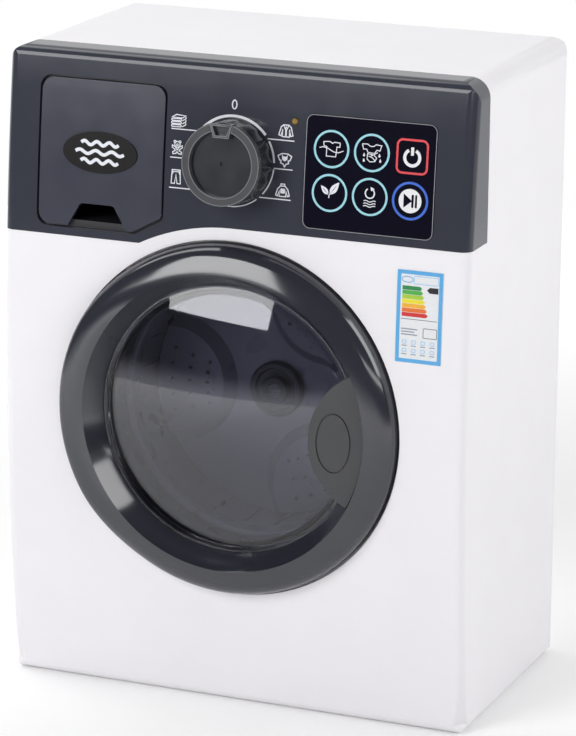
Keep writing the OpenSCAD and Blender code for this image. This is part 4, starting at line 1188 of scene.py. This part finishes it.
class WASHER_OT_stage(Operator):
    """Pale floor, soft light and the camera"""
    bl_idname = "washer.stage"
    bl_label = "Stage"

    MIDDLE = Vector((0.0, SEAM_Y, 0.13))            # of the object, which the lamps are turned to
    TARGET = Vector((0.016565, SEAM_Y, 0.139778))   # what the camera looks at

    def execute(self, context):
        s = context.scene.washer_stage
        self.floor(s)
        self.dark_screen(s)
        self.world(context)
        self.softbox("key", -25.0, 25.0, (0.64, 0.66), s.key)
        self.softbox("side", 80.0, 30.0, (0.42, 0.64), s.side)
        self.softbox("strip", 52.0, 11.0, (1.1, 0.09), s.strip)
        self.softbox("left", -97.0, 54.0, (0.50, 0.95), s.left)
        self.camera(context, s)
        return {"FINISHED"}

    def floor(self, s):
        """A pale floor that fades into the white background."""
        only()
        bpy.ops.mesh.primitive_circle_add(vertices=96, radius=s.floor, fill_type="NGON",
                                          location=(0, 0, 0))
        floor = bpy.context.object
        floor.name = "floor"

        def strength(made):
            away = made.node("VectorMath", {0: made.place}, operation="LENGTH").outputs["Value"]
            glow = made.spread(away, 0.06, 0.45, 0.25, s.floor, interpolation_type="SMOOTHSTEP")
            return made.combine("MULTIPLY", made.full_where_seen(0.0), glow)

        cloth = studio_cloth("pale_floor", 0.95, 0.8, (1.0, 1.0, 1.0), strength)
        floor.data.materials.append(cloth)
        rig.stage(floor)

    def dark_screen(self, s):
        """The dark side of the studio: half a sphere in front, which only reflections show."""
        only()
        bpy.ops.mesh.primitive_uv_sphere_add(segments=48, ring_count=24, radius=1.75,
                                             location=self.MIDDLE)
        screen = bpy.context.object
        screen.name = "dark_screen"
        with editing(screen, "FACE", lambda face: face.center.y > 0.0):
            bpy.ops.mesh.delete(type="FACE")
        bpy.ops.object.shade_smooth()
        screen.visible_camera = False

        def strength(made):
            height = made.node("SeparateXYZ", {"Vector": made.place}).outputs["Z"]
            return made.spread(height, 1.2, s.room, -0.32, -0.10, interpolation_type="SMOOTHSTEP")

        cloth = studio_cloth("dark_screen_cloth", 0.03, 1.0, (0.94, 0.93, 1.0), strength)
        screen.data.materials.append(cloth)
        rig.stage(screen)

    def world(self, context):
        """White wherever it is seen, directly or by reflection, and a soft light from behind."""
        world = bpy.data.worlds.new("studio")
        context.scene.world = world
        world.use_nodes = True
        made = Wiring(world.node_tree, "Generated")
        way = made.node("SeparateXYZ", {0: made.place}).outputs["Y"]
        back = world.node_tree.nodes["Background"]
        back.inputs["Color"].default_value = (1.0, 1.0, 1.0, 1.0)
        behind = made.spread(way, 0.25, 1.0, -0.1, 0.5)
        made.feed(back.inputs["Strength"], made.full_where_seen(behind))

    def away(self, bearing, height):
        """The direction at a bearing from the front to the right and a height above level."""
        return Vector((sin(bearing) * cos(height), -cos(bearing) * cos(height), sin(height)))

    def softbox(self, name, bearing, height, size, radiance):
        """A lamp 1.2 m away, at a bearing and height in degrees, turned to the object."""
        away = self.away(radians(bearing), radians(height))
        light = bpy.data.lights.new(name, "AREA")
        light.shape = "RECTANGLE"
        light.size, light.size_y = size
        light.energy = radiance * pi * size[0] * size[1]
        lamp = placed(name, light)
        lamp.location = self.MIDDLE + away * 1.2
        lamp.rotation_euler = away.to_track_quat("Z", "Y").to_euler()
        lamp.visible_camera = False

    def camera(self, context, s):
        back = self.away(s.azimuth, s.elevation)
        right = Vector((cos(s.azimuth), sin(s.azimuth), 0))
        data = bpy.data.cameras.new("view")
        data.lens = s.lens
        data.clip_start = 0.05
        camera = placed("view", data)
        place = Matrix((right, back.cross(right), back)).transposed().to_4x4()
        place @= Matrix.Rotation(s.roll, 4, "Z")
        place.translation = self.TARGET + back * s.distance
        camera.matrix_world = place
        context.scene.camera = camera
        context.scene.view_settings.view_transform = "Standard"


STEPS = ("shells", "panel", "dial_print", "selector", "lamp", "touch_plate", "drawer", "badge",
         "label", "door_ring", "window", "grip", "door_back", "porthole", "drum", "drive",
         "electrics", "stage")


class WASHER_PT_build(Panel):
    """Builds the washing machine piece by piece"""
    bl_idname = "WASHER_PT_build"
    bl_label = "Toy Washing Machine"
    bl_space_type = "VIEW_3D"
    bl_region_type = "UI"
    bl_category = "Washer"

    def draw(self, context):
        layout = self.layout
        for group in SETTINGS:
            box = layout.box()
            settings = getattr(context.scene, group)
            for name in settings.bl_rna.properties.keys():
                if name not in ("rna_type", "name"):
                    box.prop(settings, name)
        column = layout.column(align=True)
        for step in STEPS:
            column.operator("washer." + step)


OPERATORS = [globals()["WASHER_OT_" + step] for step in STEPS]
CLASSES = [WasherColours, WasherSizes, WasherStage, *OPERATORS, WASHER_PT_build]
SETTINGS = {"washer_colours": WasherColours, "washer_sizes": WasherSizes,
            "washer_stage": WasherStage}


def register():
    for cls in CLASSES:
        bpy.utils.register_class(cls)
    for name, cls in SETTINGS.items():
        setattr(bpy.types.Scene, name, PointerProperty(type=cls))


def unregister():
    for name in SETTINGS:
        delattr(bpy.types.Scene, name)
    for cls in reversed(CLASSES):
        bpy.utils.unregister_class(cls)


def main():
    register()
    only()
    make_finishes()
    for step in STEPS:
        getattr(bpy.ops.washer, step)()
    boxes = {"cad": [list(corner) for corner in CAD_BOX], "visual": [list(corner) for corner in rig.bounds()]}
    with open("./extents.json", "w") as out:
        json.dump(boxes, out)


if __name__ == "__main__":
    main()
